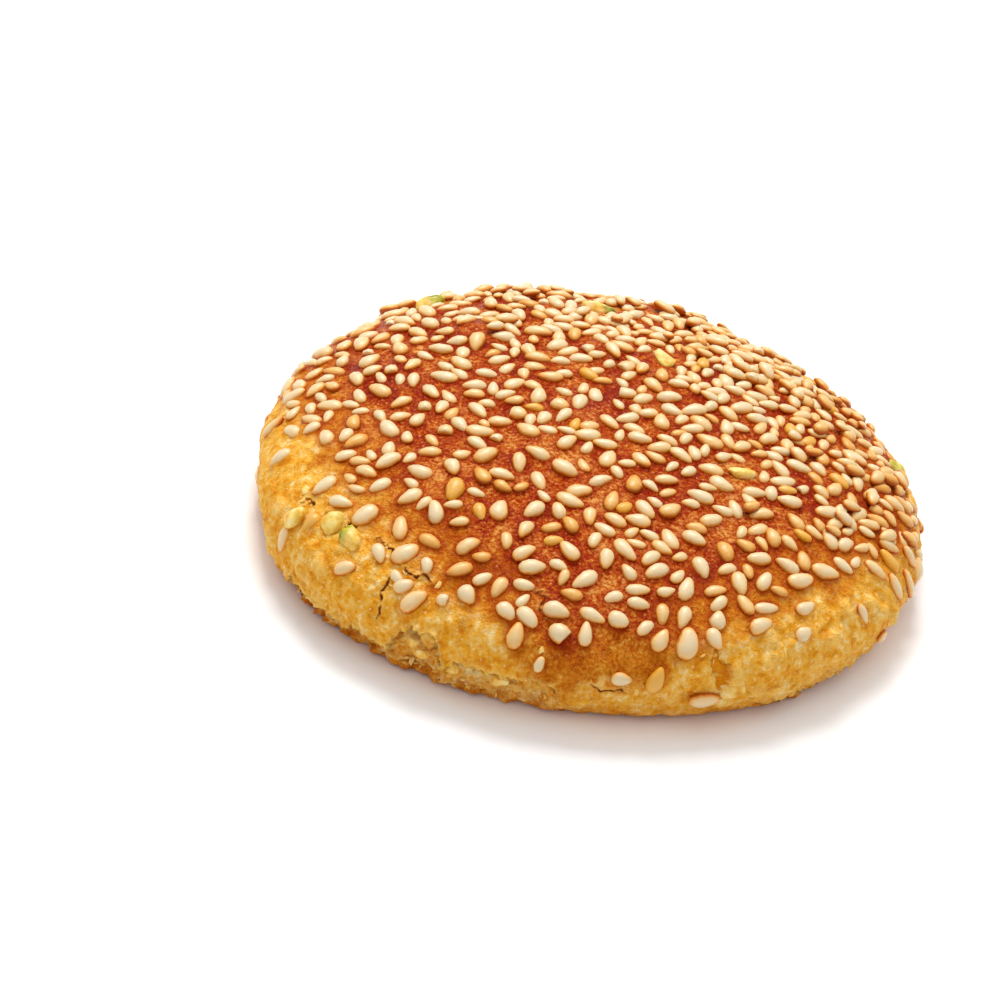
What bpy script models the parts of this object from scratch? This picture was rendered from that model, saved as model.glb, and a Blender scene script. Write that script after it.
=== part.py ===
# A round sesame biscuit: a low dome of short dough with a flat baked base, broken crust along the
# near rim, and hulled sesame seeds and slivers of pistachio baked onto it as one solid.
# Metres, +Z up. The origin is under the middle of the biscuit, on the surface that it rests on.

import math
import random

import bmesh
import bpy
import numpy as np
from mathutils import Matrix, Vector, noise

# Driving dimensions
WIDTH = 0.0819            # across X, over the dough
DEPTH = 0.0799            # across Y, over the dough
HEIGHT = 0.0165           # top of the dome, before its lumps
WAIST_HEIGHT = 0.0058     # level of the widest outline
BASE_SHARE = 0.90         # radius of the flat base over the radius of the outline
DOME_POWER = 2.25         # 2 is an ellipse, more is a flatter top with a rounder shoulder

# Unevenness of the dough
OUTLINE_WAVES = ((2, 0.0065, -1.6), (3, 0.0175, 0.9), (5, 0.0045, -0.8), (8, 0.0030, 1.0))
LUMP_SIZE = 0.0120
LUMP_RISE = 0.00055
PUCKER_SIZE = 0.0042
PUCKER_RISE = 0.00022
# Swelling of the side: size of the bulges, and how far they reach over the radius
SIDE_SWELLS = ((0.0085, 0.013), (0.0038, 0.008))
# Blisters that rose in the oven: x, y, radius, rise
BLISTERS = (
    (-0.0170, 0.0172, 0.0056, 0.0011),
    (-0.0010, 0.0165, 0.0050, 0.0010),
    (0.0112, 0.0086, 0.0062, 0.0007),
    (-0.0070, -0.0080, 0.0070, 0.0005),
)

# Edge of the brown glaze: angle in degrees from +X, share of the way from the top to the base
GLAZE_EDGE = (
    (20, 0.82), (90, 0.88), (160, 0.82), (200, 0.64), (231, 0.64), (247, 0.70),
    (265, 0.78), (294, 0.73), (320, 0.67), (343, 0.72),
)

# Mesh of the dough
GRID_CELLS = 22
CELL_CROWDING = 0.84      # under 1 packs the cells towards the rim
PROFILE_SAMPLES = 400

# Sesame seeds
SEED_LENGTH = (0.0030, 0.0038)
SEED_WIDTH_SHARE = (0.56, 0.70)
SEED_WIDTH = SEED_LENGTH[0] * SEED_WIDTH_SHARE[0]
SEED_RISE = 0.00100       # how far its back stands over its widest line
SEED_KEEL = 0.00045       # how deep its belly is baked into the dough
SEED_SINK = 0.00012       # depth of its widest line under the skin
SEED_SPACING = 0.00390
SEED_TRIES = 9000
SEED_COUNT = 300
FAR_BARENESS = 0.60       # share of the tries that bare dough refuses, on the far side
NEAR_BARENESS = 0.975     # and on the near side
SEED_LOWEST = 0.0024      # no seed's middle lies lower than this
SEED_SIDES = 5
SEED_SHOULDER = (0.70, 0.74)  # its upper ring: share of the width, and of the rise
SEED_TAPER = 0.45         # how much narrower its pointed end is
SEED_TILT = 0.16          # most that one end rises over the other, over its length

# Pistachio slivers: angle in degrees from +X, share of the way from the top to the base, length,
# width, thickness, heading in degrees
PISTACHIOS = (
    (224, 0.71, 0.0042, 0.0026, 0.0022, 20),
    (221, 0.63, 0.0036, 0.0030, 0.0020, 70),
    (213, 0.77, 0.0034, 0.0026, 0.0018, 120),
    (94, 0.57, 0.0046, 0.0020, 0.0018, 10),
    (68, 0.36, 0.0040, 0.0024, 0.0016, 40),
    (343, 0.35, 0.0038, 0.0020, 0.0016, 60),
    (130, 0.73, 0.0048, 0.0022, 0.0020, 5),
    (17, 0.79, 0.0038, 0.0024, 0.0020, 80),
    (298, 0.89, 0.0050, 0.0028, 0.0022, 85),
)

# Cracks in the crust: angle and share at the start, heading in degrees from straight down the
# side, length, width, depth
CRACKS = (
    (229, 0.67, 70, 0.0046, 0.00075, 0.00130),
    (236, 0.74, 12, 0.0050, 0.00070, 0.00120),
    (237, 0.70, 92, 0.0036, 0.00070, 0.00110),
    (263, 0.63, 8, 0.0030, 0.00060, 0.00100),
    (297, 0.76, 14, 0.0056, 0.00190, 0.00150),
    (275, 0.84, 80, 0.0044, 0.00080, 0.00120),
    (210, 0.73, 100, 0.0022, 0.00110, 0.00130),
    (221, 0.68, 60, 0.0018, 0.00090, 0.00120),
)
CRACK_STEPS = 6
CRACK_WANDER = 0.00055
CRACK_SIDES = 4
CRACK_ENDS = 0.25         # width of its ends over the width of its middle
LOWEST_CRACK_SHARE = 0.97

# Broken lower edge of the crust: first and last angle in degrees, height, how deep it is broken in
LEDGES = (
    (214, 243, 0.0036, 0.00160),
    (239, 252, 0.0076, 0.00190),
    (249, 272, 0.0056, 0.00170),
    (302, 334, 0.0024, 0.00100),
)
LEDGE_TEETH = 0.00050
LEDGE_STEP_DEGREES = 4
LEDGE_FADE = 5            # each end fades out over one part in so many of the ledge
LEDGE_REACH = 0.0050      # how far the cutter stands out past the dough
LEDGE_CLEARANCE = 0.0001  # how far it reaches under the base

WELD_DISTANCE = 0.00001
GAP_ROUND_CRACKS = 0.0022
GAP_ROUND_NUTS = 0.0036
NUT_PROUD = 0.12          # how far a sliver's middle stands out, over its thickness
NUT_ROUGHNESS = 0.12      # how far its corners stray, over its size
CLEAR_OF_BASE = 0.0003    # lowest that a topping reaches
NOISE_PLACE = Vector((3.7, 1.9, 8.3))

# Colours, linear
GLAZE = (0.36, 0.095, 0.020)
GOLDEN_DOUGH = (0.66, 0.36, 0.085)
SESAME = (0.83, 0.61, 0.33)
PISTACHIO = (0.42, 0.42, 0.06)


def smooth_step(low, high, value):
    share = min(1.0, max(0.0, (value - low) / (high - low)))
    return share * share * (3 - 2 * share)


def profile_table():
    """Share of the way, radius and height along the section from the top to the base's edge."""
    half = PROFILE_SAMPLES // 2
    dome = np.linspace(0, math.pi / 2, half)
    tuck = np.linspace(0, math.pi / 2, half)[1:]
    power = 2 / DOME_POWER
    radius = np.concatenate([np.sin(dome) ** power, 1 - (1 - BASE_SHARE) * (1 - np.cos(tuck))])
    rise = WAIST_HEIGHT + (HEIGHT - WAIST_HEIGHT) * np.cos(dome) ** power
    height = np.concatenate([rise, WAIST_HEIGHT * (1 - np.sin(tuck))])
    steps = np.hypot(np.diff(radius) * WIDTH / 2, np.diff(height))
    length = np.concatenate([[0], np.cumsum(steps)])
    return length / length[-1], radius, height, length[-1]


SHARES, RADII, HEIGHTS, SKIN_LENGTH = profile_table()


def raw_outline(angle):
    a, b = WIDTH / 2, DEPTH / 2
    ellipse = a * b / math.hypot(b * math.cos(angle), a * math.sin(angle))
    return ellipse * (1 + sum(r * math.cos(n * angle + p) for n, r, p in OUTLINE_WAVES))


def outline_middle():
    """Where the middle of the outline's box lies, so that the biscuit can be centred on it."""
    turns = [math.radians(d) for d in range(360)]
    xs = [raw_outline(t) * math.cos(t) for t in turns]
    ys = [raw_outline(t) * math.sin(t) for t in turns]
    return (max(xs) + min(xs)) / 2, (max(ys) + min(ys)) / 2


MIDDLE = outline_middle()


def dough_point(angle, share):
    """A point of the dough's skin. Share runs from 0 at the top to 1 at the edge of the base."""
    radius = np.interp(share, SHARES, RADII) * raw_outline(angle)
    height = float(np.interp(share, SHARES, HEIGHTS))
    x, y = radius * math.cos(angle), radius * math.sin(angle)
    top, side = smooth_step(0.25, 0.85, height / HEIGHT), 1 - smooth_step(0.35, 0.9, height / HEIGHT)
    place = Vector((x, y, height * 2)) + NOISE_PLACE * LUMP_SIZE
    rise = top * LUMP_RISE * noise.noise(place / LUMP_SIZE)
    rise += top * PUCKER_RISE * noise.noise(place / PUCKER_SIZE)
    for bx, by, size, lift in BLISTERS:
        near = 1 - smooth_step(0, size, math.hypot(x - bx, y - by))
        rise += lift * near * top
    swell = 1 + side * sum(reach * noise.noise(place / size) for size, reach in SIDE_SWELLS)
    return Vector((x * swell - MIDDLE[0], y * swell - MIDDLE[1], height + rise))


def dough_frame(angle, share, step=0.004):
    """The point, the outward normal, and the directions round and down the skin."""
    point = dough_point(angle, share)
    down = (dough_point(angle, share + step) - dough_point(angle, share - step)).normalized()
    round_it = dough_point(angle + step, share) - dough_point(angle - step, share)
    normal = down.cross(round_it).normalized()
    return point, normal, normal.cross(down), down


def material(name, colour, roughness, coat):
    made = bpy.data.materials.new(name)
    made.use_nodes = True
    shader = made.node_tree.nodes["Principled BSDF"]
    shader.inputs["Base Color"].default_value = (*colour, 1)
    shader.inputs["Roughness"].default_value = roughness
    shader.inputs["Coat Weight"].default_value = coat
    made.diffuse_color = (*colour, 1)
    return made


def new_object(name, mesh, collection):
    made = bpy.data.objects.new(name, mesh)
    collection.objects.link(made)
    return made


def glaze_edge(angle):
    """The share at which the brown glaze gives way to bare golden dough: early on the near side."""
    turns, shares = zip(*GLAZE_EDGE)
    return float(np.interp(math.degrees(angle), turns, shares, period=360))


def make_dough(collection, materials):
    """A square grid pressed to a disc, then shaped as the skin, and closed by a flat base."""
    bpy.ops.mesh.primitive_grid_add(x_subdivisions=GRID_CELLS, y_subdivisions=GRID_CELLS, size=2)
    dough = bpy.context.active_object
    dough.name = dough.data.name = "biscuit"
    bpy.context.collection.objects.unlink(dough)
    collection.objects.link(dough)
    bm = bmesh.new()
    bm.from_mesh(dough.data)
    for vert in bm.verts:
        x, y = vert.co.x, vert.co.y
        u, v = x * math.sqrt(1 - y * y / 2), y * math.sqrt(1 - x * x / 2)
        share = min(1.0, math.hypot(u, v)) ** CELL_CROWDING
        vert.co = dough_point(math.atan2(v, u), share)
    bmesh.ops.recalc_face_normals(bm, faces=bm.faces)
    rim = [edge for edge in bm.edges if edge.is_boundary]
    base = bmesh.ops.contextual_create(bm, geom=rim)["faces"]
    bmesh.ops.triangulate(bm, faces=base)
    for face in bm.faces:
        middle = face.calc_center_median()
        angle = math.atan2(middle.y, middle.x)
        edge_height = np.interp(glaze_edge(angle), SHARES, HEIGHTS)
        face.material_index = 0 if middle.z > edge_height else 1
    bmesh.ops.recalc_face_normals(bm, faces=bm.faces)
    bm.to_mesh(dough.data)
    bm.free()
    for one in materials:
        dough.data.materials.append(one)
    return dough


def crack_path(draw, angle, share, heading, length):
    """Points along a jagged crack that wanders over the skin."""
    point = dough_point(math.radians(angle), share)
    turn, radius = math.radians(heading), math.hypot(point.x, point.y)
    places = []
    for step in range(CRACK_STEPS + 1):
        along = length * step / CRACK_STEPS
        aside = draw.uniform(-1, 1) * CRACK_WANDER if 0 < step < CRACK_STEPS else 0
        go_down = along * math.cos(turn) - aside * math.sin(turn)
        go_round = along * math.sin(turn) + aside * math.cos(turn)
        share_here = min(LOWEST_CRACK_SHARE, share + go_down / SKIN_LENGTH)
        places.append(dough_point(math.radians(angle) + go_round / radius, share_here))
    return places


def make_cracks(collection, finish):
    """Cutters, each a tapered tube laid along a crack with its axis on the skin."""
    draw = random.Random(11)
    paths = []
    for number, (angle, share, heading, length, width, depth) in enumerate(CRACKS):
        places = crack_path(draw, angle, share, heading, length)
        paths.append(places)
        bm = bmesh.new()
        rings = []
        for step, place in enumerate(places):
            ahead = places[min(step + 1, CRACK_STEPS)] - places[max(step - 1, 0)]
            up = Vector((place.x / WIDTH, place.y / WIDTH, 0.45)).normalized()
            across = ahead.cross(up).normalized()
            bulge = math.sin(math.pi * (step + 0.5) / (CRACK_STEPS + 1))
            taper = CRACK_ENDS + (1 - CRACK_ENDS) * bulge
            ring = bmesh.ops.create_circle(bm, segments=CRACK_SIDES, radius=1)["verts"]
            axes = Matrix((across * width / 2 * taper, up * depth * taper, ahead.normalized()))
            bmesh.ops.transform(bm, matrix=axes.transposed().to_4x4(), verts=ring)
            bmesh.ops.translate(bm, vec=place, verts=ring)
            rings.append(ring)
        for near, far in zip(rings, rings[1:]):
            edges = {edge for vert in near + far for edge in vert.link_edges if edge.is_wire}
            edges |= {e for v in near for e in v.link_edges if all(o in near for o in e.verts)}
            edges |= {e for v in far for e in v.link_edges if all(o in far for o in e.verts)}
            bmesh.ops.bridge_loops(bm, edges=list(edges))
        bmesh.ops.contextual_create(bm, geom=rings[0])
        bmesh.ops.contextual_create(bm, geom=rings[-1])
        bmesh.ops.recalc_face_normals(bm, faces=bm.faces)
        mesh = bpy.data.meshes.new(f"crack_{number}")
        bm.to_mesh(mesh)
        bm.free()
        mesh.materials.append(finish)
        new_object(mesh.name, mesh, collection)
    return paths


def make_ledges(collection, finish):
    """Cutters, each a flat ring sector with a toothed inner edge, that break the crust's low edge."""
    draw = random.Random(23)
    for number, (first, last, height, depth) in enumerate(LEDGES):
        curve = bpy.data.curves.new(f"ledge_{number}", "CURVE")
        curve.dimensions = "2D"
        curve.fill_mode = "BOTH"
        curve.extrude = height / 2
        steps = int((last - first) / LEDGE_STEP_DEGREES)
        inner, outer = [], []
        for step in range(steps + 1):
            share = step / steps
            angle = math.radians(first + (last - first) * share)
            fade = min(1.0, LEDGE_FADE * share, LEDGE_FADE * (1 - share))
            radius = raw_outline(angle) * np.interp(height, HEIGHTS[::-1], RADII[::-1])
            cut = radius - fade * (depth + draw.uniform(-1, 1) * LEDGE_TEETH)
            way = Vector((math.cos(angle), math.sin(angle)))
            inner.append(way * cut - Vector(MIDDLE))
            outer.append(way * (radius + LEDGE_REACH) - Vector(MIDDLE))
        spline = curve.splines.new("POLY")
        corners = inner + outer[::-1]
        spline.points.add(len(corners) - 1)
        for spot, (x, y) in zip(spline.points, corners):
            spot.co = (x, y, 0, 1)
        spline.use_cyclic_u = True
        guide = new_object(f"ledge_guide_{number}", curve, collection)
        guide.location.z = height / 2 - LEDGE_CLEARANCE
        bpy.context.view_layer.update()
        shape = bpy.data.meshes.new_from_object(
            guide.evaluated_get(bpy.context.evaluated_depsgraph_get())
        )
        bm = bmesh.new()
        bm.from_mesh(shape)
        bmesh.ops.remove_doubles(bm, verts=bm.verts, dist=WELD_DISTANCE)
        bmesh.ops.recalc_face_normals(bm, faces=bm.faces)
        bm.to_mesh(shape)
        bm.free()
        shape.materials.clear()
        shape.materials.append(finish)
        cutter = new_object(f"ledge_cutter_{number}", shape, collection)
        cutter.matrix_world = guide.matrix_world
        bpy.data.objects.remove(guide)


def on_broken_edge(angle, point):
    """Whether a seed there would hang over a stretch where the crust has broken off."""
    degrees = math.degrees(angle) % 360
    return any(
        first < degrees < last and point[2] < height + SEED_WIDTH
        for first, last, height, depth in LEDGES
    )


def seed_chance(angle, share):
    """How likely a seed is kept: thick on the glaze, few on the bare dough of the near rim."""
    bare = smooth_step(-0.03, 0.05, share - glaze_edge(angle))
    near = smooth_step(-0.45, 0.35, -math.sin(angle))
    return 1 - bare * (FAR_BARENESS + (NEAR_BARENESS - FAR_BARENESS) * near)


def seed_places(cracks):
    """Scattered places that keep their distance, drawn one by one and kept where they fit."""
    draw = random.Random(5)
    crack_points = np.array([tuple(p) for path in cracks for p in path])
    nuts = np.array([tuple(dough_point(math.radians(n[0]), n[1])) for n in PISTACHIOS])
    kept, points = [], np.full((1, 3), np.inf)
    for _ in range(SEED_TRIES):
        angle, area, luck = draw.uniform(0, math.tau), draw.random(), draw.random()
        heading, size, plump, tip = (draw.random() for _ in range(4))
        share = math.sqrt(area)
        if len(kept) == SEED_COUNT:
            break
        if luck > seed_chance(angle, share):
            continue
        point = np.array(dough_point(angle, share))
        if point[2] < SEED_LOWEST or on_broken_edge(angle, point):
            continue
        if np.linalg.norm(points - point, axis=1).min() < SEED_SPACING:
            continue
        if np.linalg.norm(crack_points - point, axis=1).min() < GAP_ROUND_CRACKS:
            continue
        if np.linalg.norm(nuts - point, axis=1).min() < GAP_ROUND_NUTS:
            continue
        points = np.vstack([points, point])
        kept.append((angle, share, heading, size, plump, tip))
    return kept


def seed_mesh(name, finish):
    """A sesame seed one unit long and wide: round at one end and drawn to a point at the other."""
    bm = bmesh.new()
    bmesh.ops.create_uvsphere(bm, u_segments=SEED_SIDES, v_segments=3, radius=1)
    for vert in bm.verts:
        girth, above = math.hypot(vert.co.x, vert.co.y), vert.co.z > 0
        if girth < WELD_DISTANCE:
            vert.co.z = SEED_RISE if above else -SEED_KEEL
            continue
        width = SEED_SHOULDER[0] if above else 1
        vert.co.x *= width / girth / 2
        vert.co.y *= width / girth / 2
        vert.co.z = SEED_RISE * SEED_SHOULDER[1] if above else 0
        vert.co.y *= 1 - SEED_TAPER * smooth_step(-0.10, 0.50, vert.co.x)
    mesh = bpy.data.meshes.new(name)
    bm.to_mesh(mesh)
    bm.free()
    mesh.materials.append(finish)
    return mesh


def make_seeds(collection, places, finish):
    mesh = seed_mesh("sesame_seed", finish)
    for number, (angle, share, heading, size, plump, tip) in enumerate(places):
        point, normal, round_it, down = dough_frame(angle, share)
        turn = heading * math.tau
        along = (round_it * math.cos(turn) + down * math.sin(turn)).normalized()
        along = (along + normal * (tip - 0.5) * SEED_TILT).normalized()
        across = normal.cross(along).normalized()
        up = along.cross(across)
        length = SEED_LENGTH[0] + (SEED_LENGTH[1] - SEED_LENGTH[0]) * size
        slim, broad = SEED_WIDTH_SHARE
        width = length * (slim + (broad - slim) * plump)
        axes = Matrix((along * length, across * width, up)).transposed().to_4x4()
        seed = new_object(f"seed_{number}", mesh, collection)
        seed.matrix_world = Matrix.Translation(point - normal * SEED_SINK) @ axes


def make_pistachios(collection, finish):
    """Chopped nut: a small faceted chunk, cut flat on two sides."""
    draw = random.Random(31)
    for number, (angle, share, length, width, thickness, heading) in enumerate(PISTACHIOS):
        bm = bmesh.new()
        bmesh.ops.create_icosphere(bm, subdivisions=1, radius=0.5)
        for vert in bm.verts:
            vert.co *= 1 + draw.uniform(-1, 1) * NUT_ROUGHNESS
        mesh = bpy.data.meshes.new(f"pistachio_{number}")
        bm.to_mesh(mesh)
        bm.free()
        mesh.materials.append(finish)
        point, normal, round_it, down = dough_frame(math.radians(angle), share)
        turn = math.radians(heading)
        along = (round_it * math.cos(turn) + down * math.sin(turn)).normalized()
        across = normal.cross(along)
        axes = Matrix((along * length, across * width, normal * thickness)).transposed().to_4x4()
        place = Matrix.Translation(point + normal * thickness * NUT_PROUD) @ axes
        lowest = min((place @ vert.co).z for vert in mesh.vertices)
        lift = Vector((0, 0, max(0, CLEAR_OF_BASE - lowest)))
        chunk = new_object(mesh.name, mesh, collection)
        chunk.matrix_world = Matrix.Translation(lift) @ place


def apply_boolean(target, collection, operation):
    """Joins or cuts all the collection's objects at once, then removes them."""
    change = target.modifiers.new(operation.title(), "BOOLEAN")
    change.operation = operation
    change.operand_type = "COLLECTION"
    change.collection = collection
    change.solver = "MANIFOLD"
    bpy.context.view_layer.objects.active = target
    bpy.ops.object.modifier_apply(modifier=change.name)
    for tool in list(collection.objects):
        bpy.data.objects.remove(tool)


def drop_scraps(target):
    """Removes the crumbs that the cuts and the union left loose, and keeps the biscuit itself."""
    bm = bmesh.new()
    bm.from_mesh(target.data)
    left, islands = set(bm.verts), []
    while left:
        island, edge_of_it = set(), [left.pop()]
        while edge_of_it:
            vert = edge_of_it.pop()
            island.add(vert)
            near = {edge.other_vert(vert) for edge in vert.link_edges} & left
            left -= near
            edge_of_it.extend(near)
        islands.append(island)
    islands.sort(key=len)
    for scrap in islands[:-1]:
        bmesh.ops.delete(bm, geom=list(scrap), context="VERTS")
    bm.to_mesh(target.data)
    bm.free()


def main():
    for old in list(bpy.data.objects):
        bpy.data.objects.remove(old)
    parts = bpy.data.collections.new("sesame_biscuit")
    cutters = bpy.data.collections.new("cutters")
    toppings = bpy.data.collections.new("toppings")
    for one in (parts, cutters, toppings):
        bpy.context.scene.collection.children.link(one)
    glaze = material("brown_glaze", GLAZE, 0.30, 0.5)
    golden = material("golden_dough", GOLDEN_DOUGH, 0.65, 0.0)
    sesame = material("hulled_sesame", SESAME, 0.40, 0.2)
    green = material("pistachio", PISTACHIO, 0.45, 0.1)
    biscuit = make_dough(parts, (glaze, golden, sesame, green))
    cracks = make_cracks(cutters, golden)
    make_ledges(cutters, golden)
    apply_boolean(biscuit, cutters, "DIFFERENCE")
    places = seed_places(cracks)
    make_seeds(toppings, places, sesame)
    make_pistachios(toppings, green)
    apply_boolean(biscuit, toppings, "UNION")
    drop_scraps(biscuit)
    print(len(places), "seeds,", sum(len(face.vertices) - 2 for face in biscuit.data.polygons), "triangles")


main()
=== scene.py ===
# A sesame biscuit: short dough under an egg-washed crust, crowded with hulled sesame seeds.
# The dough, its cracks and the first seeds follow the part's own rules and seeded draws; the seeds,
# nuts and bits of the near rim are listed one by one. Metres.
import math
import random

import bmesh
import bpy
import numpy as np
from mathutils import Matrix, Vector, kdtree, noise


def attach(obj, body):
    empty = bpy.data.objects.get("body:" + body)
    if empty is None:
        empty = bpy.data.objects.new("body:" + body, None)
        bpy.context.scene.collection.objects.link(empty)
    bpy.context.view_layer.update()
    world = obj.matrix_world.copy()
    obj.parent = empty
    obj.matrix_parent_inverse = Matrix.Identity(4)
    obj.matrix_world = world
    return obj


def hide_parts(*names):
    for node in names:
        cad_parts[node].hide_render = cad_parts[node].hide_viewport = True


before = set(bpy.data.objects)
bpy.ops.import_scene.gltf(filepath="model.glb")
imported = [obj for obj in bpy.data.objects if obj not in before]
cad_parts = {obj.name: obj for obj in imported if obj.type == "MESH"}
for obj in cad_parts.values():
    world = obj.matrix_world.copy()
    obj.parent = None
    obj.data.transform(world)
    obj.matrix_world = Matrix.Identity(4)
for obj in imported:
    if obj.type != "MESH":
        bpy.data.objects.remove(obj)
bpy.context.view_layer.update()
noise.seed_set(7)               # noise_vector starts from the clock without it
millimetre = 0.001

# The form of the dough, as the solid has it
form = {
    "width": 0.0819,
    "depth": 0.0799,
    "height": 0.0165,           # top of the dome, before its lumps
    "waistHeight": 0.0058,      # level of the widest outline
    "baseShare": 0.90,          # radius of the flat base over the radius of the outline
    "domePower": 2.25,
    "outlineWaves": ((2, 0.0065, -1.6), (3, 0.0175, 0.9), (5, 0.0045, -0.8), (8, 0.0030, 1.0)),
    "topRelief": (0.25, 0.85),  # share of the height between which the top's lumps set in
    "sideRelief": (0.35, 0.9),  # and the side's swells die out
    "lumpSize": 0.0120,
    "lumpRise": 0.00055,
    "puckerSize": 0.0042,
    "puckerRise": 0.00022,
    "sideSwells": ((0.0085, 0.013), (0.0038, 0.008)),   # size, reach over the radius
    "blisters": (               # x, y, radius, rise
        (-0.0170, 0.0172, 0.0056, 0.0011),
        (-0.0010, 0.0165, 0.0050, 0.0010),
        (0.0112, 0.0086, 0.0062, 0.0007),
        (-0.0070, -0.0080, 0.0070, 0.0005),
    ),
    "glazeEdge": (              # degrees from +X, share of the way down where the glaze ends
        (20, 0.82), (90, 0.88), (160, 0.82), (200, 0.64), (231, 0.64), (247, 0.70),
        (265, 0.78), (294, 0.73), (320, 0.67), (343, 0.72),
    ),
    "samples": 400,             # points along the section
    "frameStep": 0.004,         # turn and share over which its slope is measured
    "noisePlace": Vector((3.7, 1.9, 8.3)),
    "noiseHeight": 2,           # how much quicker the lumps change with height than along the skin
}


def smoothStep(low, high, value):
    share = min(1.0, max(0.0, (value - low) / (high - low)))
    return share * share * (3 - 2 * share)


def profileTable():
    # share of the way, radius and height along the section, from the top to the base's edge
    half = form["samples"] // 2
    dome = np.linspace(0, math.pi / 2, half)
    tuck = np.linspace(0, math.pi / 2, half)[1:]
    power = 2 / form["domePower"]
    waist = form["waistHeight"]
    tucked = 1 - (1 - form["baseShare"]) * (1 - np.cos(tuck))
    radius = np.concatenate([np.sin(dome) ** power, tucked])
    rise = waist + (form["height"] - waist) * np.cos(dome) ** power
    height = np.concatenate([rise, waist * (1 - np.sin(tuck))])
    steps = np.hypot(np.diff(radius) * form["width"] / 2, np.diff(height))
    length = np.concatenate([[0], np.cumsum(steps)])
    return length / length[-1], radius, height, length[-1]


shares, radii, heights, skinLength = profileTable()


def rawOutline(turn):
    a, b = form["width"] / 2, form["depth"] / 2
    ellipse = a * b / math.hypot(b * math.cos(turn), a * math.sin(turn))
    return ellipse * (1 + sum(r * math.cos(n * turn + p) for n, r, p in form["outlineWaves"]))


def outlineMiddle():
    turns = [math.radians(d) for d in range(360)]
    xs = [rawOutline(t) * math.cos(t) for t in turns]
    ys = [rawOutline(t) * math.sin(t) for t in turns]
    return Vector(((max(xs) + min(xs)) / 2, (max(ys) + min(ys)) / 2, 0))


middle = outlineMiddle()


def doughPoint(turn, share):
    # share runs from 0 at the top to 1 at the edge of the base
    radius = np.interp(share, shares, radii) * rawOutline(turn)
    height = float(np.interp(share, shares, heights))
    x, y = radius * math.cos(turn), radius * math.sin(turn)
    level = height / form["height"]
    top, side = smoothStep(*form["topRelief"], level), 1 - smoothStep(*form["sideRelief"], level)
    place = Vector((x, y, height * form["noiseHeight"])) + form["noisePlace"] * form["lumpSize"]
    rise = top * form["lumpRise"] * noise.noise(place / form["lumpSize"])
    rise += top * form["puckerRise"] * noise.noise(place / form["puckerSize"])
    for bx, by, size, lift in form["blisters"]:
        rise += lift * top * (1 - smoothStep(0, size, math.hypot(x - bx, y - by)))
    swell = sum(reach * noise.noise(place / size) for size, reach in form["sideSwells"])
    swell = 1 + side * swell
    return Vector((x * swell - middle.x, y * swell - middle.y, height + rise))


def doughFrame(turn, share):
    # the point, the outward normal, and the directions round and down the skin
    step = form["frameStep"]
    point = doughPoint(turn, share)
    down = (doughPoint(turn, share + step) - doughPoint(turn, share - step)).normalized()
    roundIt = doughPoint(turn + step, share) - doughPoint(turn - step, share)
    normal = down.cross(roundIt).normalized()
    return point, normal, normal.cross(down), down


edgeByDegree = np.interp(np.arange(361), *zip(*form["glazeEdge"]), period=360).tolist()


def glazeEdge(turn):
    degrees = math.degrees(turn) % 360
    whole = int(degrees)
    return edgeByDegree[whole] + (edgeByDegree[whole + 1] - edgeByDegree[whole]) * (degrees - whole)


# Cracks in the crust
cracks = {
    "draw": 11,                 # number that its random draws start from
    "places": (                 # degrees, share, heading, length, width, depth
        (229, 0.67, 70, 0.0046, 0.00075, 0.00130),
        (236, 0.74, 12, 0.0050, 0.00070, 0.00120),
        (237, 0.70, 92, 0.0036, 0.00070, 0.00110),
        (263, 0.63, 8, 0.0030, 0.00060, 0.00100),
        (297, 0.76, 14, 0.0056, 0.00190, 0.00150),
        (275, 0.84, 80, 0.0044, 0.00080, 0.00120),
        (210, 0.73, 100, 0.0022, 0.00110, 0.00130),
        (221, 0.68, 60, 0.0018, 0.00090, 0.00120),
    ),
    "steps": 6,
    "wander": 0.00055,
    "ends": 0.25,               # width of its ends over the width of its middle
    "lowest": 0.97,
    "between": 8,               # samples between two of its points
    "gapWidth": 0.0015,         # a wider one is an open gap between two plates of crust
    "slimness": (0.29, 0.90),   # width at the skin over the solid's cut, of a crack and of a gap
    "shallowness": 0.60,        # depth over the solid's
    "wall": (0.3, 0.00012),     # half the width of its ragged side: over its own, and at most
    "widening": (0.5, 0.5 * millimetre),    # how much its width changes, and over what length
    "darkWall": 0.00020,        # how far its painted shade reaches past its sides
    "jag": (0.00022, 0.7 * millimetre),     # how far its sides stray, and over what length
    "lip": 0.00015,             # rise of the crust's edge beside it
    "lipWidth": 0.00070,
    "lipFade": 0.0001,          # below the crack, over which the lip dies out
    "reach": 3,                 # widths of its lip beyond which it changes nothing
    "bottom": (0.35, 0.9 * millimetre),     # how uneven its bottom is, and its crumbs' size
}


def crackPath(draw, degrees, share, heading, length):
    turn, head = math.radians(degrees), math.radians(heading)
    start = doughPoint(turn, share)
    radius = math.hypot(start.x, start.y)
    points = []
    for step in range(cracks["steps"] + 1):
        along = length * step / cracks["steps"]
        inside = 0 < step < cracks["steps"]
        aside = draw.uniform(-1, 1) * cracks["wander"] if inside else 0
        goDown = along * math.cos(head) - aside * math.sin(head)
        goRound = along * math.sin(head) + aside * math.cos(head)
        shareHere = min(cracks["lowest"], share + goDown / skinLength)
        points.append(doughPoint(turn + goRound / radius, shareHere))
    return points


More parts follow.
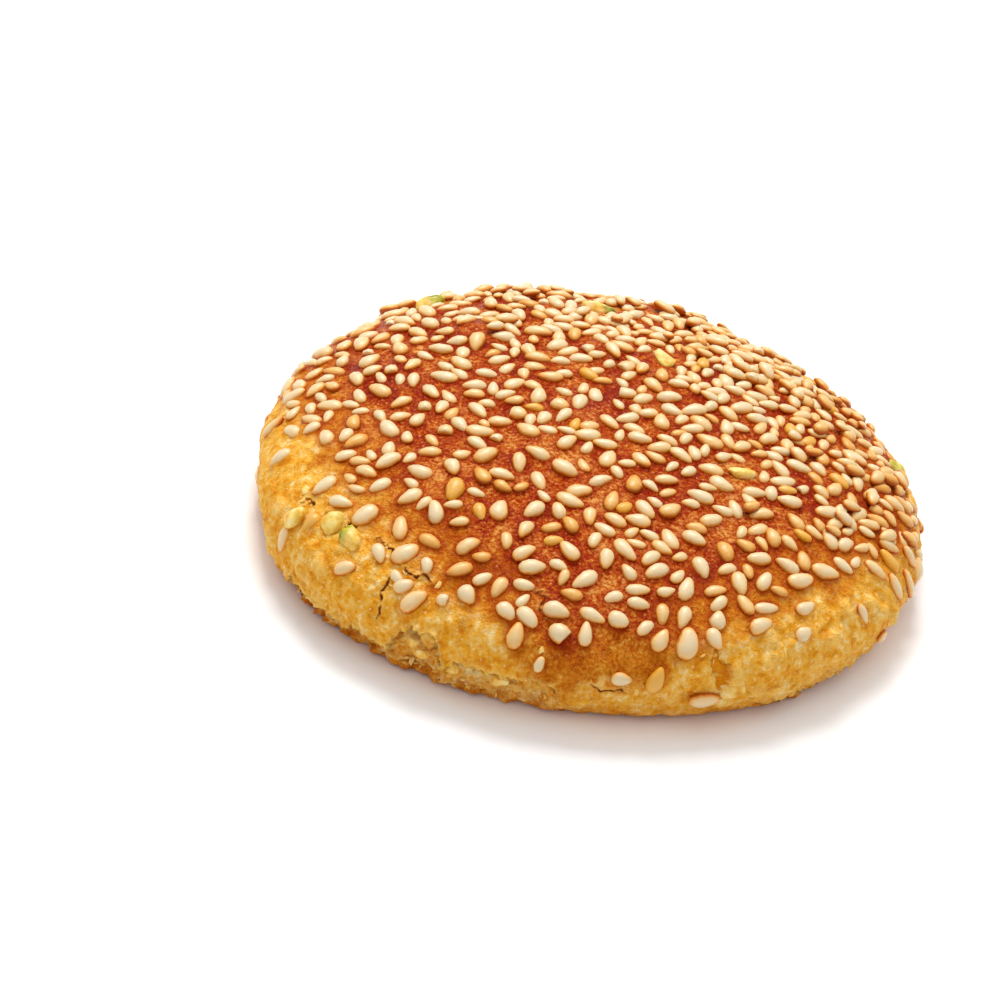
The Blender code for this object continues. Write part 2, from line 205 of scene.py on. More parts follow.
def crackSamples(paths):
    # points close together along each crack, with its half width, its depth and whether it is a gap
    samples = []
    jag, jagSize = cracks["jag"]
    for path, (_, _, _, _, width, depth) in zip(paths, cracks["places"]):
        gap = int(width > cracks["gapWidth"])
        half = width / 2 * cracks["slimness"][gap]
        count = (len(path) - 1) * cracks["between"]
        for number in range(count + 1):
            part, step = number / count, number / cracks["between"]
            first = min(int(step), len(path) - 2)
            point = path[first].lerp(path[first + 1], step - first)
            point += noise.noise_vector(point / jagSize) * jag
            taper = cracks["ends"] + (1 - cracks["ends"]) * math.sin(math.pi * part)
            samples.append((point, half * taper, depth * taper * cracks["shallowness"], gap))
    tree = kdtree.KDTree(len(samples))
    for number, sample in enumerate(samples):
        tree.insert(sample[0], number)
    tree.balance()
    return samples, tree


def cutCrack(point, samples, tree):
    # rise of the skin by the nearest crack; the painted shade inside a crack; and how far the point is
    # inside a gap and on the lip beside it
    _, number, distance = tree.find(point)
    line, half, depth, gap = samples[number]
    if distance > half + cracks["reach"] * cracks["lipWidth"]:
        return 0, 0, 0, 0
    widening, wideningSize = cracks["widening"]
    half *= 1 + widening * noise.noise(point / wideningSize)
    wallShare, widestWall = cracks["wall"]
    wall = min(wallShare * half, widestWall)
    inside = 1 - smoothStep(half - wall, half + wall, distance)
    # painted shade inside the crack, reaching a little past its sides
    shadeInCrack = 1 - smoothStep(half, half + cracks["darkWall"], distance)
    above = 1 if gap else smoothStep(-cracks["lipFade"], cracks["lipFade"], point.z - line.z)
    beside = (1 - smoothStep(0, cracks["lipWidth"], distance - half)) * above * (1 - inside)
    uneven, crumbSize = cracks["bottom"]
    floor = depth * (1 - uneven * pebbles(point, crumbSize))
    return beside * cracks["lip"] - floor * inside, shadeInCrack * (1 - gap), inside * gap, beside


def pebbles(point, size):
    # rounded crumbs of one size: 1 in the middle of each, 0 between them
    steepness = 1.4
    return 1 - min(1.0, steepness * noise.voronoi(point / size)[0][0])


# Stretches of the near rim where the crust has broken off over a crumbly recess
ledges = {
    "draw": 23,
    "places": (                 # first and last degrees, height, how deep it is broken in
        (214, 243, 0.0036, 0.00160),
        (239, 252, 0.0076, 0.00190),
        (249, 272, 0.0056, 0.00170),
        (302, 334, 0.0024, 0.00100),
    ),
    "teeth": 0.00050,
    "stepDegrees": 4,
    "fade": 5,                  # each end fades out over one part in so many
    "endDegrees": 4,            # stretch at each end over which the edge comes down
    "endHeight": 0.25,          # and the share of its height that is left there
    "open": (0.0001, 0.0008),   # depth of the recess where it begins to show, and where it fully does
    "spread": 0.00050,          # height of skin that is laid over the recess's ceiling
    "ragged": 0.00080,          # how far the broken edge strays up and down
    "raggedWaves": ((1.6, 1.0), (0.6, 0.7)),    # size in mm, strength
    "raggedDegrees": 1.8,       # how far it strays round the rim
    "raggedLevels": 0.9 * millimetre,   # height over which that changes
    "flare": 0.00055,           # how far the edge's lip curls out
    "flareHeight": 0.00080,
    "flareBite": (0.6, 0.8, 0.6 * millimetre),  # its mean, how much it changes, over what length
    "shade": 0.56,              # how dark the painted shade is right under the edge
    "shadeHeight": 0.00120,
    "crumbs": 0.00085,          # how far the recess's crumbs stand out
    "crumbSizes": ((1.5, 1.0), (0.6, 0.5)),     # size in mm, strength
    "crumbLevel": 0.6,
    "layers": 0.00040,          # how far its flaky layers stand out
    "layerSize": (2.5, 0.5),    # along and across a layer, in mm
    "layerPlace": 7 * millimetre,       # where in the noise they are read
    "foot": 0.00075,            # how far the tray's brown edge stands out under the recess
    "footHeight": 0.00130,
    "footFade": 0.6,            # share of that height over which it comes in
    "footBite": (0.5, 1.5 * millimetre),        # its mean, and over what length it changes
    "footFineBite": (0.4, 0.5 * millimetre),    # how much it changes over a shorter length
    "footCrust": (0.6, 1.1, 0.8),       # bite from which it is pale, and where fully; how pale
}


def ledgeWalls():
    draw = random.Random(ledges["draw"])
    walls = []
    for first, last, height, depth in ledges["places"]:
        steps = int((last - first) / ledges["stepDegrees"])
        turns, cuts = [], []
        for step in range(steps + 1):
            share = step / steps
            degrees = first + (last - first) * share
            fade = min(1.0, ledges["fade"] * share, ledges["fade"] * (1 - share))
            radius = rawOutline(math.radians(degrees))
            radius *= np.interp(height, heights[::-1], radii[::-1])
            turns.append(degrees)
            cuts.append(radius - fade * (depth + draw.uniform(-1, 1) * ledges["teeth"]))
        walls.append((first, last, height, turns, cuts))
    return walls


def breakLedge(point, walls):
    # moves a point of the skin into the recess under a broken edge; also returns how broken it is,
    # and how much it is the edge's pale lip, the brown foot and the painted shade right under the edge
    flat = point + middle
    length = math.hypot(flat.x, flat.y)
    radius, degrees = length, math.degrees(math.atan2(flat.y, flat.x)) % 360
    z, broken, lip, foot, shade = point.z, 0.0, 0.0, 0.0, 0.0
    roundIt = Vector((math.radians(degrees) * form["width"] / 2, 0, 0))     # the way round the rim
    stray = sum(part * noise.noise(roundIt / (size * millimetre)) for size, part in ledges["raggedWaves"])
    degrees += ledges["raggedDegrees"] * noise.noise(Vector((0, 0, z)) / ledges["raggedLevels"])
    for first, last, height, turns, cuts in walls:
        if not first < degrees < last:
            continue
        wall = float(np.interp(degrees, turns, cuts))
        ends = smoothStep(0, ledges["endDegrees"], min(degrees - first, last - degrees))
        line = height * (ledges["endHeight"] + (1 - ledges["endHeight"]) * ends)
        line += stray * ledges["ragged"]
        outer = rawOutline(math.radians(degrees)) * np.interp(height, heights[::-1], radii[::-1])
        openness = smoothStep(*ledges["open"], outer - wall)
        if z >= line:
            near = 1 - smoothStep(0, ledges["flareHeight"], z - line)
            mean, change, size = ledges["flareBite"]
            bite = mean + change * noise.noise(point / size)
            radius += ledges["flare"] * near * openness * bite
            lip = max(lip, near * openness)
        elif radius > wall:
            part = min(1.0, (line - z) / ledges["spread"])
            crumb = sum(share * pebbles(point, size * millimetre) for size, share in ledges["crumbSizes"])
            crumb -= ledges["crumbLevel"]
            long, thin = ledges["layerSize"]
            spot = Vector((roundIt.x / long, z / thin, ledges["layerPlace"])) / millimetre
            layer = noise.noise(spot)
            rough = crumb * ledges["crumbs"] + layer * ledges["layers"]
            radius += (wall + rough - radius) * part * openness
            broken = max(broken, openness * part)
            # painted shade on the dough just under the broken edge, where its overhang would shade it
            under = 1 - smoothStep(0, ledges["shadeHeight"], line - z)
            shade = max(shade, ledges["shade"] * openness * under)
        if z < ledges["footHeight"] and openness > 0:
            mean, size = ledges["footBite"]
            fine, fineSize = ledges["footFineBite"]
            bite = mean + noise.noise(roundIt / size) + fine * noise.noise(point / fineSize)
            near = ends * openness * smoothStep(0, ledges["footFade"], 1 - z / ledges["footHeight"])
            radius += ledges["foot"] * near * max(0.0, bite)
            foot = max(foot, near)
            begin, full, pale = ledges["footCrust"]
            lip = max(lip, near * smoothStep(begin, full, bite) * pale)
    reach = radius / length
    return Vector((flat.x * reach, flat.y * reach, z)) - middle, broken, lip, foot, shade


def onBrokenEdge(turn, point):
    degrees = math.degrees(turn) % 360
    clear = seeds["length"][0] * seeds["widthShare"][0]
    return any(
        first < degrees < last and point.z < height + clear
        for first, last, height, depth in ledges["places"]
    )


# Slivers of pistachio
nuts = {
    "draw": 31,
    "places": (                 # degrees, share, length, width, thickness, heading
        (224, 0.71, 0.0042, 0.0026, 0.0022, 20),
        (221, 0.63, 0.0036, 0.0030, 0.0020, 70),
        (213, 0.77, 0.0034, 0.0026, 0.0018, 120),
        (94, 0.57, 0.0046, 0.0020, 0.0018, 10),
        (68, 0.36, 0.0040, 0.0024, 0.0016, 40),
        (343, 0.35, 0.0038, 0.0020, 0.0016, 60),
        (130, 0.73, 0.0048, 0.0022, 0.0020, 5),
        (17, 0.79, 0.0038, 0.0024, 0.0020, 80),
        (298, 0.89, 0.0050, 0.0028, 0.0022, 85),
    ),
    # 1 for a vivid green skin; None where a large seed or a chunk of dough lies instead
    "greenness": (1.0, None, 0.12, 0.90, 0.12, 0.12, 0.85, 0.60, None),
    "more": ((219, 0.715, 0.0036, 0.0026, 0.0019, 70, 0.25),),
    "proud": 0.12,              # how far its middle lies over the skin, over its thickness
    "cutDepth": 0.30,           # from its middle to a cut, over its length
    "clearOfBase": 0.0003,
    "skinTip": (-1, 0.5, 0.2),  # way to its skin: along it, at most across it, and up
    "skinEdge": (-0.02, 0.25),  # from its middle along that way, between which the skin sets in
}


# Sesame seeds
seeds = {
    "draw": 5,
    "moreDraw": 6,
    "shapeDraw": 41,
    "length": (0.0030, 0.0038),
    "widthShare": (0.56, 0.70),
    "thicknessShare": (0.64, 0.76),     # over the width
    "lift": (0.00006, 0.00028),         # height of its widest line over the skin
    "spacing": 0.00390,
    "tries": 9000,
    "count": 300,
    "farBareness": 0.60,                # share of the seeds that the bare dough lacks, far and near
    "nearBareness": 0.975,
    "bareFrom": (-0.03, 0.05),          # share past the glaze's edge, between which they thin out
    "nearFrom": (-0.45, 0.35),          # part of the way to the front, from far to near
    "lowest": 0.0024,                   # no seed's middle lies lower
    "tilt": 0.16,
    "moreTries": 60000,
    "moreCount": 850,
    "moreLength": (0.0023, 0.0034),
    "moreTilt": 1.5,                    # tilt and gaps of the smaller seeds, over those of the first
    "moreGaps": 0.8,
    "touch": 0.90,                      # closest that two seeds lie, over touching
    "farSqueeze": 0.20,                 # how much closer they lie where they are thickest
    "leastCrowd": 0.75,
    "piledCount": 100,
    "piledTouch": 0.50,
    "piledLift": 0.00080,
    "piledTilt": 0.50,
    "piledFrom": 0.42,                  # share of the way down from which seeds lie on others
    "piledOn": 2,                       # fewest seeds near a piled one
    "highest": 0.0168,                  # and none higher
    "gapRoundCracks": 0.0022,
    "gapRoundNuts": 0.0036,
    "thickest": (0.55, 0.84),           # direction in which they lie thickest
    "crowdFrom": (-0.25, 0.55),         # how far that way, between which they grow thick
    "rimMargin": 0.015,                 # of the glaze beside the near rim, also listed one by one
    "sides": 8,
    "rings": 7,
    "taper": 0.34,
    "taperFrom": (-0.4, 1.0),           # where a seed's taper begins and ends, along it
    "taperRange": (0.4, 1.3),
    "fullness": 0.15,                   # how much rounder its ends are than an ellipse's
    "lump": (0.11, 2),                  # strength, and how many lumps to a seed
    "lumpPlace": 1000,                  # sets each seed's lumps apart
    "bend": (-0.10, 0.16),
    "hook": (-0.18, 0.18),
    "goldLuck": 0.02,                   # share of the seeds that are golden yellow
    "toastedLuck": 0.10,                # and, with those, of the ones that are well toasted
    "toastedTone": 0.85,
    "commonTone": 0.75,                 # how toasted the others are at most
    "rightTone": 0.25,                  # how much more towards the right edge
    "rightFrom": (0.015, 0.036),
    "chippedLuck": 0.96,                # share of the seeds with both ends whole
    "chippedAt": 0.25,                  # where along it a chipped one ends
}


# The seeds of the near rim's bare dough are few, and each is listed one by one
rimSeeds = (        # degrees, share, heading, length and width in mm, tone, how deep it is sunk in mm
    (210, 0.68, 75, 3.6, 2.3, 0.2, 0.05), (216, 0.67, -35, 3.3, 2.0, 0.1, 0.0),
    (222, 0.65, 85, 3.8, 2.7, 0.4, 0.05), (231, 0.70, 30, 3.0, 1.8, 0.0, 0.05),
    (235, 0.67, -75, 3.8, 2.7, 0.5, 0.05), (240, 0.67, 50, 2.4, 1.6, 0.0, 0.0),
    (228, 0.77, -50, 2.8, 2.0, 0.6, 0.1), (237, 0.73, 20, 2.2, 1.4, 0.0, 0.05),
    (242, 0.76, -65, 3.8, 2.4, 0.6, 0.0), (239, 0.74, -50, 2.6, 2.0, 0.3, 0.15),
    (247, 0.73, -10, 2.2, 1.8, 0.0, 0.0), (250, 0.70, 40, 2.7, 2.4, 0.0, 0.0),
    (216, 0.75, 80, 2.8, 2.0, 0.3, 0.15), (213, 0.83, 80, 3.4, 1.9, 0.4, 0.2),
    (258, 0.71, 30, 2.7, 2.2, 0.0, 0.0), (262, 0.71, 35, 3.2, 2.2, 0.1, 0.0),
    (261, 0.76, -90, 3.4, 2.3, 0.7, 0.0), (267, 0.68, 5, 3.3, 2.4, 0.1, 0.0),
    (269, 0.74, 35, 3.7, 2.5, 0.1, 0.0), (273, 0.73, -90, 3.2, 1.9, 0.1, 0.0),
    (279, 0.69, 30, 2.6, 2.3, 0.0, 0.0), (287, 0.73, -55, 3.2, 2.3, 0.6, 0.05),
    (292, 0.74, -70, 4.1, 2.9, 0.3, 0.0), (286, 0.82, -70, 3.4, 2.2, 0.2, 0.0),
    (280, 0.82, 5, 2.6, 1.9, 0.2, 0.1), (266, 0.81, -80, 2.0, 1.3, 0.1, 0.0),
    (299, 0.69, -60, 2.6, 2.2, 0.0, 0.0), (297, 0.735, 80, 2.9, 2.2, 0.1, 0.0),
    (313, 0.62, -30, 3.2, 1.8, 0.1, 0.0), (321, 0.65, 15, 3.8, 2.3, 0.5, 0.0),
    (328, 0.66, 45, 3.9, 2.4, 0.5, 0.0), (310, 0.68, 15, 3.3, 1.8, 0.2, 0.15),
    (318, 0.71, 0, 3.0, 1.9, 0.2, 0.15), (315, 0.76, -10, 2.5, 2.0, 0.0, 0.1),
    (330, 0.79, 85, 2.8, 1.5, 0.2, 0.1), (307, 0.72, -10, 3.3, 2.2, 0.5, 0.15),
    (295, 0.87, -10, 3.8, 2.0, 0.55, -0.3), (339, 0.73, 80, 3.6, 1.9, 0.6, 0.1),
    (341, 0.79, -85, 3.6, 1.9, 0.5, 0.1), (346, 0.82, -75, 3.8, 1.9, 0.5, 0.1),
    (335, 0.88, 60, 3.2, 1.8, 0.4, 0.15), (344, 0.74, -80, 3.4, 1.9, 0.6, 0.0),
    (350, 0.78, 85, 3.4, 1.9, 0.4, 0.05), (347, 0.72, 70, 3.3, 2.0, 0.6, 0.0),
)


def onNearRim(turn, share):
    # whether it is bare dough that faces the front
    degrees = math.degrees(turn) % 360
    first, last = crust["band"]
    return first < degrees < last and share > glazeEdge(turn) - seeds["rimMargin"]


def seedChance(turn, share):
    bare = smoothStep(*seeds["bareFrom"], share - glazeEdge(turn))
    near = smoothStep(*seeds["nearFrom"], -math.sin(turn))
    return 1 - bare * (seeds["farBareness"] + (seeds["nearBareness"] - seeds["farBareness"]) * near)


def seedCrowd(turn, share):
    # how thickly the smaller seeds lie: most towards the far right
    way = Vector((math.cos(turn), math.sin(turn))).dot(Vector(seeds["thickest"]))
    return smoothStep(*seeds["crowdFrom"], way * share)


def layDown(turn, share, heading, tip, length, width, lift, tilt):
    # a seed as it lies: its middle and its three half axes; with a tip of 0.5 it lies level
    point, normal, roundIt, down = doughFrame(turn, share)
    angle = heading * math.tau
    along = (roundIt * math.cos(angle) + down * math.sin(angle)).normalized()
    along = (along + normal * (tip - 0.5) * tilt).normalized()
    across = normal.cross(along).normalized()
    return {
        "skin": point,
        "middle": point + normal * lift,
        "along": along * length / 2,
        "across": across * width / 2,
        "up": along.cross(across),
        "normal": normal,
        "turn": turn,
        "share": share,
        "piled": False,
    }


def reachTowards(seed, way):
    # how far a seed's outline reaches from its middle along a direction
    a, b = seed["along"], seed["across"]
    return 1 / max(1e-6, math.hypot(way.dot(a) / a.length_squared, way.dot(b) / b.length_squared))


def keepsClear(one, other, touch):
    way = other["skin"] - one["skin"]
    gap = way.length
    way = way.normalized()
    return gap > touch * (reachTowards(one, way) + reachTowards(other, way))


def drawSeed(draw, lengths):
    turn, area, luck = draw.uniform(0, math.tau), draw.random(), draw.random()
    heading, size, plump, tip = (draw.random() for _ in range(4))
    length = lengths[0] + (lengths[1] - lengths[0]) * size
    slim, broad = seeds["widthShare"]
    width = length * (slim + (broad - slim) * plump)
    lift = seeds["lift"][0] + (seeds["lift"][1] - seeds["lift"][0]) * luck
    return turn, math.sqrt(area), luck, (heading, tip, length, width, lift)


def clearOf(point, others, gap):
    return np.linalg.norm(others - np.array(point), axis=1).min() >= gap


def solidSeeds(crackPoints, nutPoints):
    # the seeds that the solid has
    draw = random.Random(seeds["draw"])
    laid, points = [], np.full((1, 3), np.inf)
    for _ in range(seeds["tries"]):
        turn, share, luck, shape = drawSeed(draw, seeds["length"])
        if len(laid) == seeds["count"] or luck > seedChance(turn, share):
            continue
        point = doughPoint(turn, share)
        if point.z < seeds["lowest"] or onBrokenEdge(turn, point):
            continue
        if not (
            clearOf(point, points, seeds["spacing"])
            and clearOf(point, crackPoints, seeds["gapRoundCracks"])
            and clearOf(point, nutPoints, seeds["gapRoundNuts"])
        ):
            continue
        points = np.vstack([points, point])
        laid.append(layDown(turn, share, *shape, seeds["tilt"]))
    return [seed for seed in laid if not onNearRim(seed["turn"], seed["share"])]


def seedsByEye():
    laid = []
    for degrees, share, heading, length, width, tone, sunk in rimSeeds:
        size = (length * millimetre, width * millimetre, seeds["lift"][1] - sunk * millimetre)
        laid.append(layDown(math.radians(degrees), share, heading / 360, 0.5, *size, 0))
        laid[-1]["tone"] = tone
    return laid


def fillBetween(laid, crackPoints, nutPoints):
    # smaller seeds between the others, and then some that lie on top of them
    draw = random.Random(seeds["moreDraw"])
    points = np.array([tuple(seed["skin"]) for seed in laid])
    for _ in range(seeds["moreTries"]):
        turn, share, luck, shape = drawSeed(draw, seeds["moreLength"])
        piled = len(laid) >= seeds["moreCount"]
        if len(laid) == seeds["moreCount"] + seeds["piledCount"]:
            break
        least = 0 if piled else seeds["leastCrowd"]
        crowd = seedCrowd(turn, share)
        if luck > seedChance(turn, share) * (least + (1 - least) * crowd) or onNearRim(turn, share):
            continue
        if piled and share < seeds["piledFrom"]:
            continue
        lift, tilt, touch = shape[-1], seeds["tilt"] * seeds["moreTilt"], seeds["touch"]
        if piled:
            lift, tilt, touch = seeds["piledLift"], seeds["piledTilt"], seeds["piledTouch"]
        point = doughPoint(turn, share)
        if not seeds["lowest"] < point.z < seeds["highest"] - lift or onBrokenEdge(turn, point):
            continue
        if not (
            clearOf(point, crackPoints, seeds["gapRoundCracks"] * seeds["moreGaps"])
            and clearOf(point, nutPoints, seeds["gapRoundNuts"] * seeds["moreGaps"])
        ):
            continue
        made = layDown(turn, share, *shape[:-1], lift, tilt)
        near = np.flatnonzero(np.linalg.norm(points - np.array(point), axis=1) < seeds["length"][1])
        touch -= seeds["farSqueeze"] * crowd
        if any(not keepsClear(made, laid[number], touch) for number in near):
            continue
        if piled and len(near) < seeds["piledOn"]:
            continue
        points = np.vstack([points, point])
        made["piled"] = piled
        laid.append(made)
    return laid


def placeSeeds(paths):
    crackPoints = np.array([tuple(p) for path in paths for p in path])
    nutPoints = np.array([tuple(doughPoint(math.radians(n[0]), n[1])) for n in nuts["places"]])
    byEye = seedsByEye()
    own = [
        seed for seed in solidSeeds(crackPoints, nutPoints)
        if all(keepsClear(seed, other, seeds["touch"]) for other in byEye)
    ]
    laid = fillBetween(own + byEye, crackPoints, nutPoints)
    print("sesame seeds:", len(laid), "with", len(own), "of the solid's and", len(byEye), "by eye")
    return laid


# The crust's fine surface
crust = {
    "cells": 160,               # cells along the disc
    "fineFrom": -0.4,           # on the disc, how far to the front the fine cells begin
    "fineReach": (0.0010, 0.0005),      # from a crack, of the fine and of the finest cells
    "fineDegrees": 1,           # past the ends of a broken stretch
    "crowding": 0.92,           # power by which the cells crowd towards the rim
    "band": (196, 352),         # degrees between which the near rim's bare dough shows
    "bandMargin": 0.05,         # of the glaze over that band, also in fine cells
    "glazeGrain": ((3.4, 0.00011), (1.5, 0.00010), (0.8, 0.00006)),     # size in mm, rise
    "bareGrain": ((2.6, 0.00015), (1.2, 0.00013), (0.55, 0.00009)),
    "bareEdge": 0.04,           # half the share over which one grain passes into the other
    "bareWander": (0.03, 4 * millimetre),       # how far that line strays, and over what length
    "flakeSize": 1.5 * millimetre,
    "flakeRise": 0.00016,
    "flakeTwist": (0.6, 3 * millimetre),
    "flakeEdge": 0.06,
    "hugSeeds": 3,              # how many of the nearest seeds it looks at
    "hugRise": 0.00014,         # how far the crust creeps up round a seed
    "hugReach": (0.9, 1.5),     # over the seed's outline, between which it comes down again
    "poolAndShadeReach": (0.95, 1.65),         # and its darkening fades: pooled glaze and painted contact shade
    "bareContact": 0.75,        # how much less the bare dough browns round a seed
    "crackPaleness": 0.7,       # how much less the bare dough is darkened round a seed, by pooled glaze and painted contact shade
    "runDown": (276, 9, 17, 0.085),     # degrees; half widths; share that the wash runs down there
    "baseRings": 8,
    "basePit": (0.00018, 2.6 * millimetre, 0.1),        # rise, size, level
    "buriedDraw": 17,
    "buriedCount": 18,
    "buriedBetween": ((203, 226), (288, 344)),  # degrees
    "buriedShares": (0.74, 0.90),
    "buriedUnder": 0.03,        # share of the way that they keep below the glaze
    "buriedLength": (0.0030, 0.0036),
    "buriedWidth": (0.0018, 0.0022),
    "buriedRise": 0.00050,
    "buriedReach": (0.35, 1.15),
}


def refine(bm, wanted):
    # the edges go in the mesh's own order, so that each run gives the same cells
    chosen = {face for face in bm.faces if wanted(face.calc_center_median())}
    edges = [edge for edge in bm.edges if any(face in chosen for face in edge.link_faces)]
    bmesh.ops.subdivide_edges(bm, edges=edges, cuts=1, use_grid_fill=True)


def inBand(spot):
    degrees = math.degrees(math.atan2(spot.y, spot.x)) % 360
    first, last = crust["band"]
    lowest = glazeEdge(math.radians(degrees)) - crust["bandMargin"]
    return first < degrees < last and spot.length > lowest


def crackDistance(spot, tree):
    return tree.find(doughPoint(math.atan2(spot.y, spot.x), min(1.0, spot.length)))[2]


def nearBreak(spot, tree):
    if not inBand(spot) and spot.y > crust["fineFrom"]:
        return False
    if crackDistance(spot, tree) < crust["fineReach"][0]:
        return True
    turn = math.atan2(spot.y, spot.x)
    degrees = math.degrees(turn) % 360
    z = doughPoint(turn, min(1.0, spot.length)).z
    margin = crust["fineDegrees"]
    return any(
        first - margin < degrees < last + margin and z < height + ledges["flareHeight"]
        for first, last, height, depth in ledges["places"]
    )


def layDisc(tree):
    # a disc of quads whose distance from the middle is the share of the way down the skin
    bm = bmesh.new()
    bmesh.ops.create_grid(bm, x_segments=crust["cells"], y_segments=crust["cells"], size=1)
    for vert in bm.verts:
        x, y = vert.co.x, vert.co.y
        u, v = x * math.sqrt(1 - y * y / 2), y * math.sqrt(1 - x * x / 2)       # from square to disc
        length = math.hypot(u, v)
        if length > 0:
            vert.co = Vector((u, v, 0)) * min(1.0, length) ** crust["crowding"] / length
    refine(bm, inBand)
    refine(bm, lambda spot: nearBreak(spot, tree))
    refine(bm, lambda spot: crackDistance(spot, tree) < crust["fineReach"][1])
    for vert in bm.verts:
        if vert.is_boundary:
            vert.co.normalize()
    return bm


def raiseDisc(bm):
    # lays the disc over the dough; returns each vertex's turn and share
    spots = []
    for vert in bm.verts:
        turn, share = math.atan2(vert.co.y, vert.co.x), min(1.0, vert.co.length)
        spots.append((turn, share))
        vert.co = doughPoint(turn, share)
    bmesh.ops.recalc_face_normals(bm, faces=bm.faces)
    bm.normal_update()
    if sum(face.normal.z * face.calc_area() for face in bm.faces) < 0:
        bmesh.ops.reverse_faces(bm, faces=bm.faces)
        bm.normal_update()
    return spots


def runDown(turn):
    degrees, narrow, wide, share = crust["runDown"]
    return share * (1 - smoothStep(narrow, wide, abs(math.degrees(turn) % 360 - degrees)))


def buriedSeeds():
    # seeds that the dough has closed over, seen as pale swellings of the bare band
    draw = random.Random(crust["buriedDraw"])
    found = []
    while len(found) < crust["buriedCount"]:
        degrees = draw.choice([draw.uniform(*limits) for limits in crust["buriedBetween"]])
        share = draw.uniform(*crust["buriedShares"])
        turn = math.radians(degrees)
        if share < glazeEdge(turn) + crust["buriedUnder"]:
            continue
        length, width = draw.uniform(*crust["buriedLength"]), draw.uniform(*crust["buriedWidth"])
        found.append(layDown(turn, share, draw.random(), 0.5, length, width, 0, 0))
    return found


def ellipseDistance(seed, point):
    way = point - seed["skin"]
    a, b = seed["along"], seed["across"]
    return math.hypot(way.dot(a) / a.length_squared, way.dot(b) / b.length_squared)


def grain(point, bare):
    # rise of the fine relief: pucker of the glaze, grain and flakes of the bare dough
    rise = sum((1 - bare) * lift * noise.noise(point / (size * millimetre))
               for size, lift in crust["glazeGrain"])
    rise += sum(bare * lift * noise.noise(point / (size * millimetre) + form["noisePlace"])
                for size, lift in crust["bareGrain"])
    twist, twistSize = crust["flakeTwist"]
    flake = noise.noise(point / crust["flakeSize"] + noise.noise_vector(point / twistSize) * twist)
    return rise + bare * crust["flakeRise"] * smoothStep(-crust["flakeEdge"], crust["flakeEdge"], flake)


def creepUp(point, laid, seedTree):
    # rise of the crust round the seeds beside it, and how near they are, for the darker pooled glaze and
    # painted contact shade round them
    rise, near = 0.0, 0.0
    for _, number, distance in seedTree.find_n(point, crust["hugSeeds"]):
        if laid[number]["piled"] or distance > seeds["length"][1]:
            continue
        away = ellipseDistance(laid[number], point)
        rise += crust["hugRise"] * (1 - smoothStep(*crust["hugReach"], away))
        near = max(near, 1 - smoothStep(*crust["poolAndShadeReach"], away))
    return rise, near


def swellOver(point, buried):
    swell = 0.0
    for seed in buried:
        if (seed["skin"] - point).length < seeds["length"][1]:
            away = ellipseDistance(seed, point)
            swell = max(swell, 1 - smoothStep(*crust["buriedReach"], away))
    return crust["buriedRise"] * swell, swell


# What is noted at each point of the crust, for its material
crustMarks = (
    # two of these carry painted shade: the ring round the seeds, with pooled glaze, and the shade in the
    # cracks and under the broken edges
    "browning", "seedPoolAndShade", "crackShade", "gap", "broken", "lip", "buried", "foot", "torn", "under",
)


def makeCrust(paths, laid):
    samples, tree = crackSamples(paths)
    walls, buried = ledgeWalls(), buriedSeeds()
    bm = layDisc(tree)
    marks = {name: bm.verts.layers.float.new(name) for name in crustMarks}
    seedTree = kdtree.KDTree(len(laid))
    for number, seed in enumerate(laid):
        seedTree.insert(seed["skin"], number)
    seedTree.balance()
    spots = raiseDisc(bm)
    edge, (wander, wanderSize) = crust["bareEdge"], crust["bareWander"]
    places = []
    for vert, (turn, share) in zip(bm.verts, spots):
        point = vert.co.copy()
        browning = share - glazeEdge(turn)
        bare = smoothStep(-edge, edge, browning + wander * noise.noise(point / wanderSize))
        creep, near = creepUp(point, laid, seedTree)
        swell, buriedHere = swellOver(point, buried)
        cut, crackShade, gap, beside = cutCrack(point, samples, tree)
        point += vert.normal * (grain(point, bare) + creep + swell + cut)
        point, broken, lip, foot, shade = breakLedge(point, walls)
        point.z = max(0.0, point.z)
        places.append(point)
        browning -= runDown(turn)
        # the painted shade under the broken edges joins the painted shade in the cracks
        lip, crackShade = max(lip, crust["crackPaleness"] * beside), max(crackShade, shade)
        # the bare dough gets less of the pooled glaze and painted contact shade round its seeds
        near *= 1 - crust["bareContact"] * bare
        torn = max(crackShade, gap, broken, lip, foot)
        values = (browning, near, crackShade, gap, broken, lip, buriedHere, foot, torn, 0)
        for name, value in zip(crustMarks, values):
            vert[marks[name]] = value
    for vert, place in zip(bm.verts, places):
        vert.co = place
    closeBase(bm, marks)
    return finishPiece(bm, "biscuitCrust")


def vertsOf(edges):
    # the vertices of some edges, each once and in order
    return list(dict.fromkeys(vert for edge in edges for vert in edge.verts))


def closeBase(bm, marks):
    # rings run in from the rim over the flat base that lay on the tray
    ring = [edge for edge in bm.edges if edge.is_boundary]
    for vert in vertsOf(ring):
        vert.co.z = 0
    parts = crust["baseRings"] + 0.5
    rise, size, level = crust["basePit"]
    for number in range(1, crust["baseRings"] + 1):
        made = bmesh.ops.extrude_edge_only(bm, edges=ring)["geom"]
        ring = [item for item in made if isinstance(item, bmesh.types.BMEdge) and item.is_boundary]
        nearer = (parts - number) / (parts - number + 1)
        for vert in vertsOf(ring):
            vert.co.x *= nearer
            vert.co.y *= nearer
            vert.co.z = rise * max(0.0, noise.noise(vert.co / size) - level)
            vert[marks["under"]] = 1
    bmesh.ops.pointmerge(bm, verts=vertsOf(ring), merge_co=(0, 0, 0))
    bmesh.ops.recalc_face_normals(bm, faces=bm.faces)


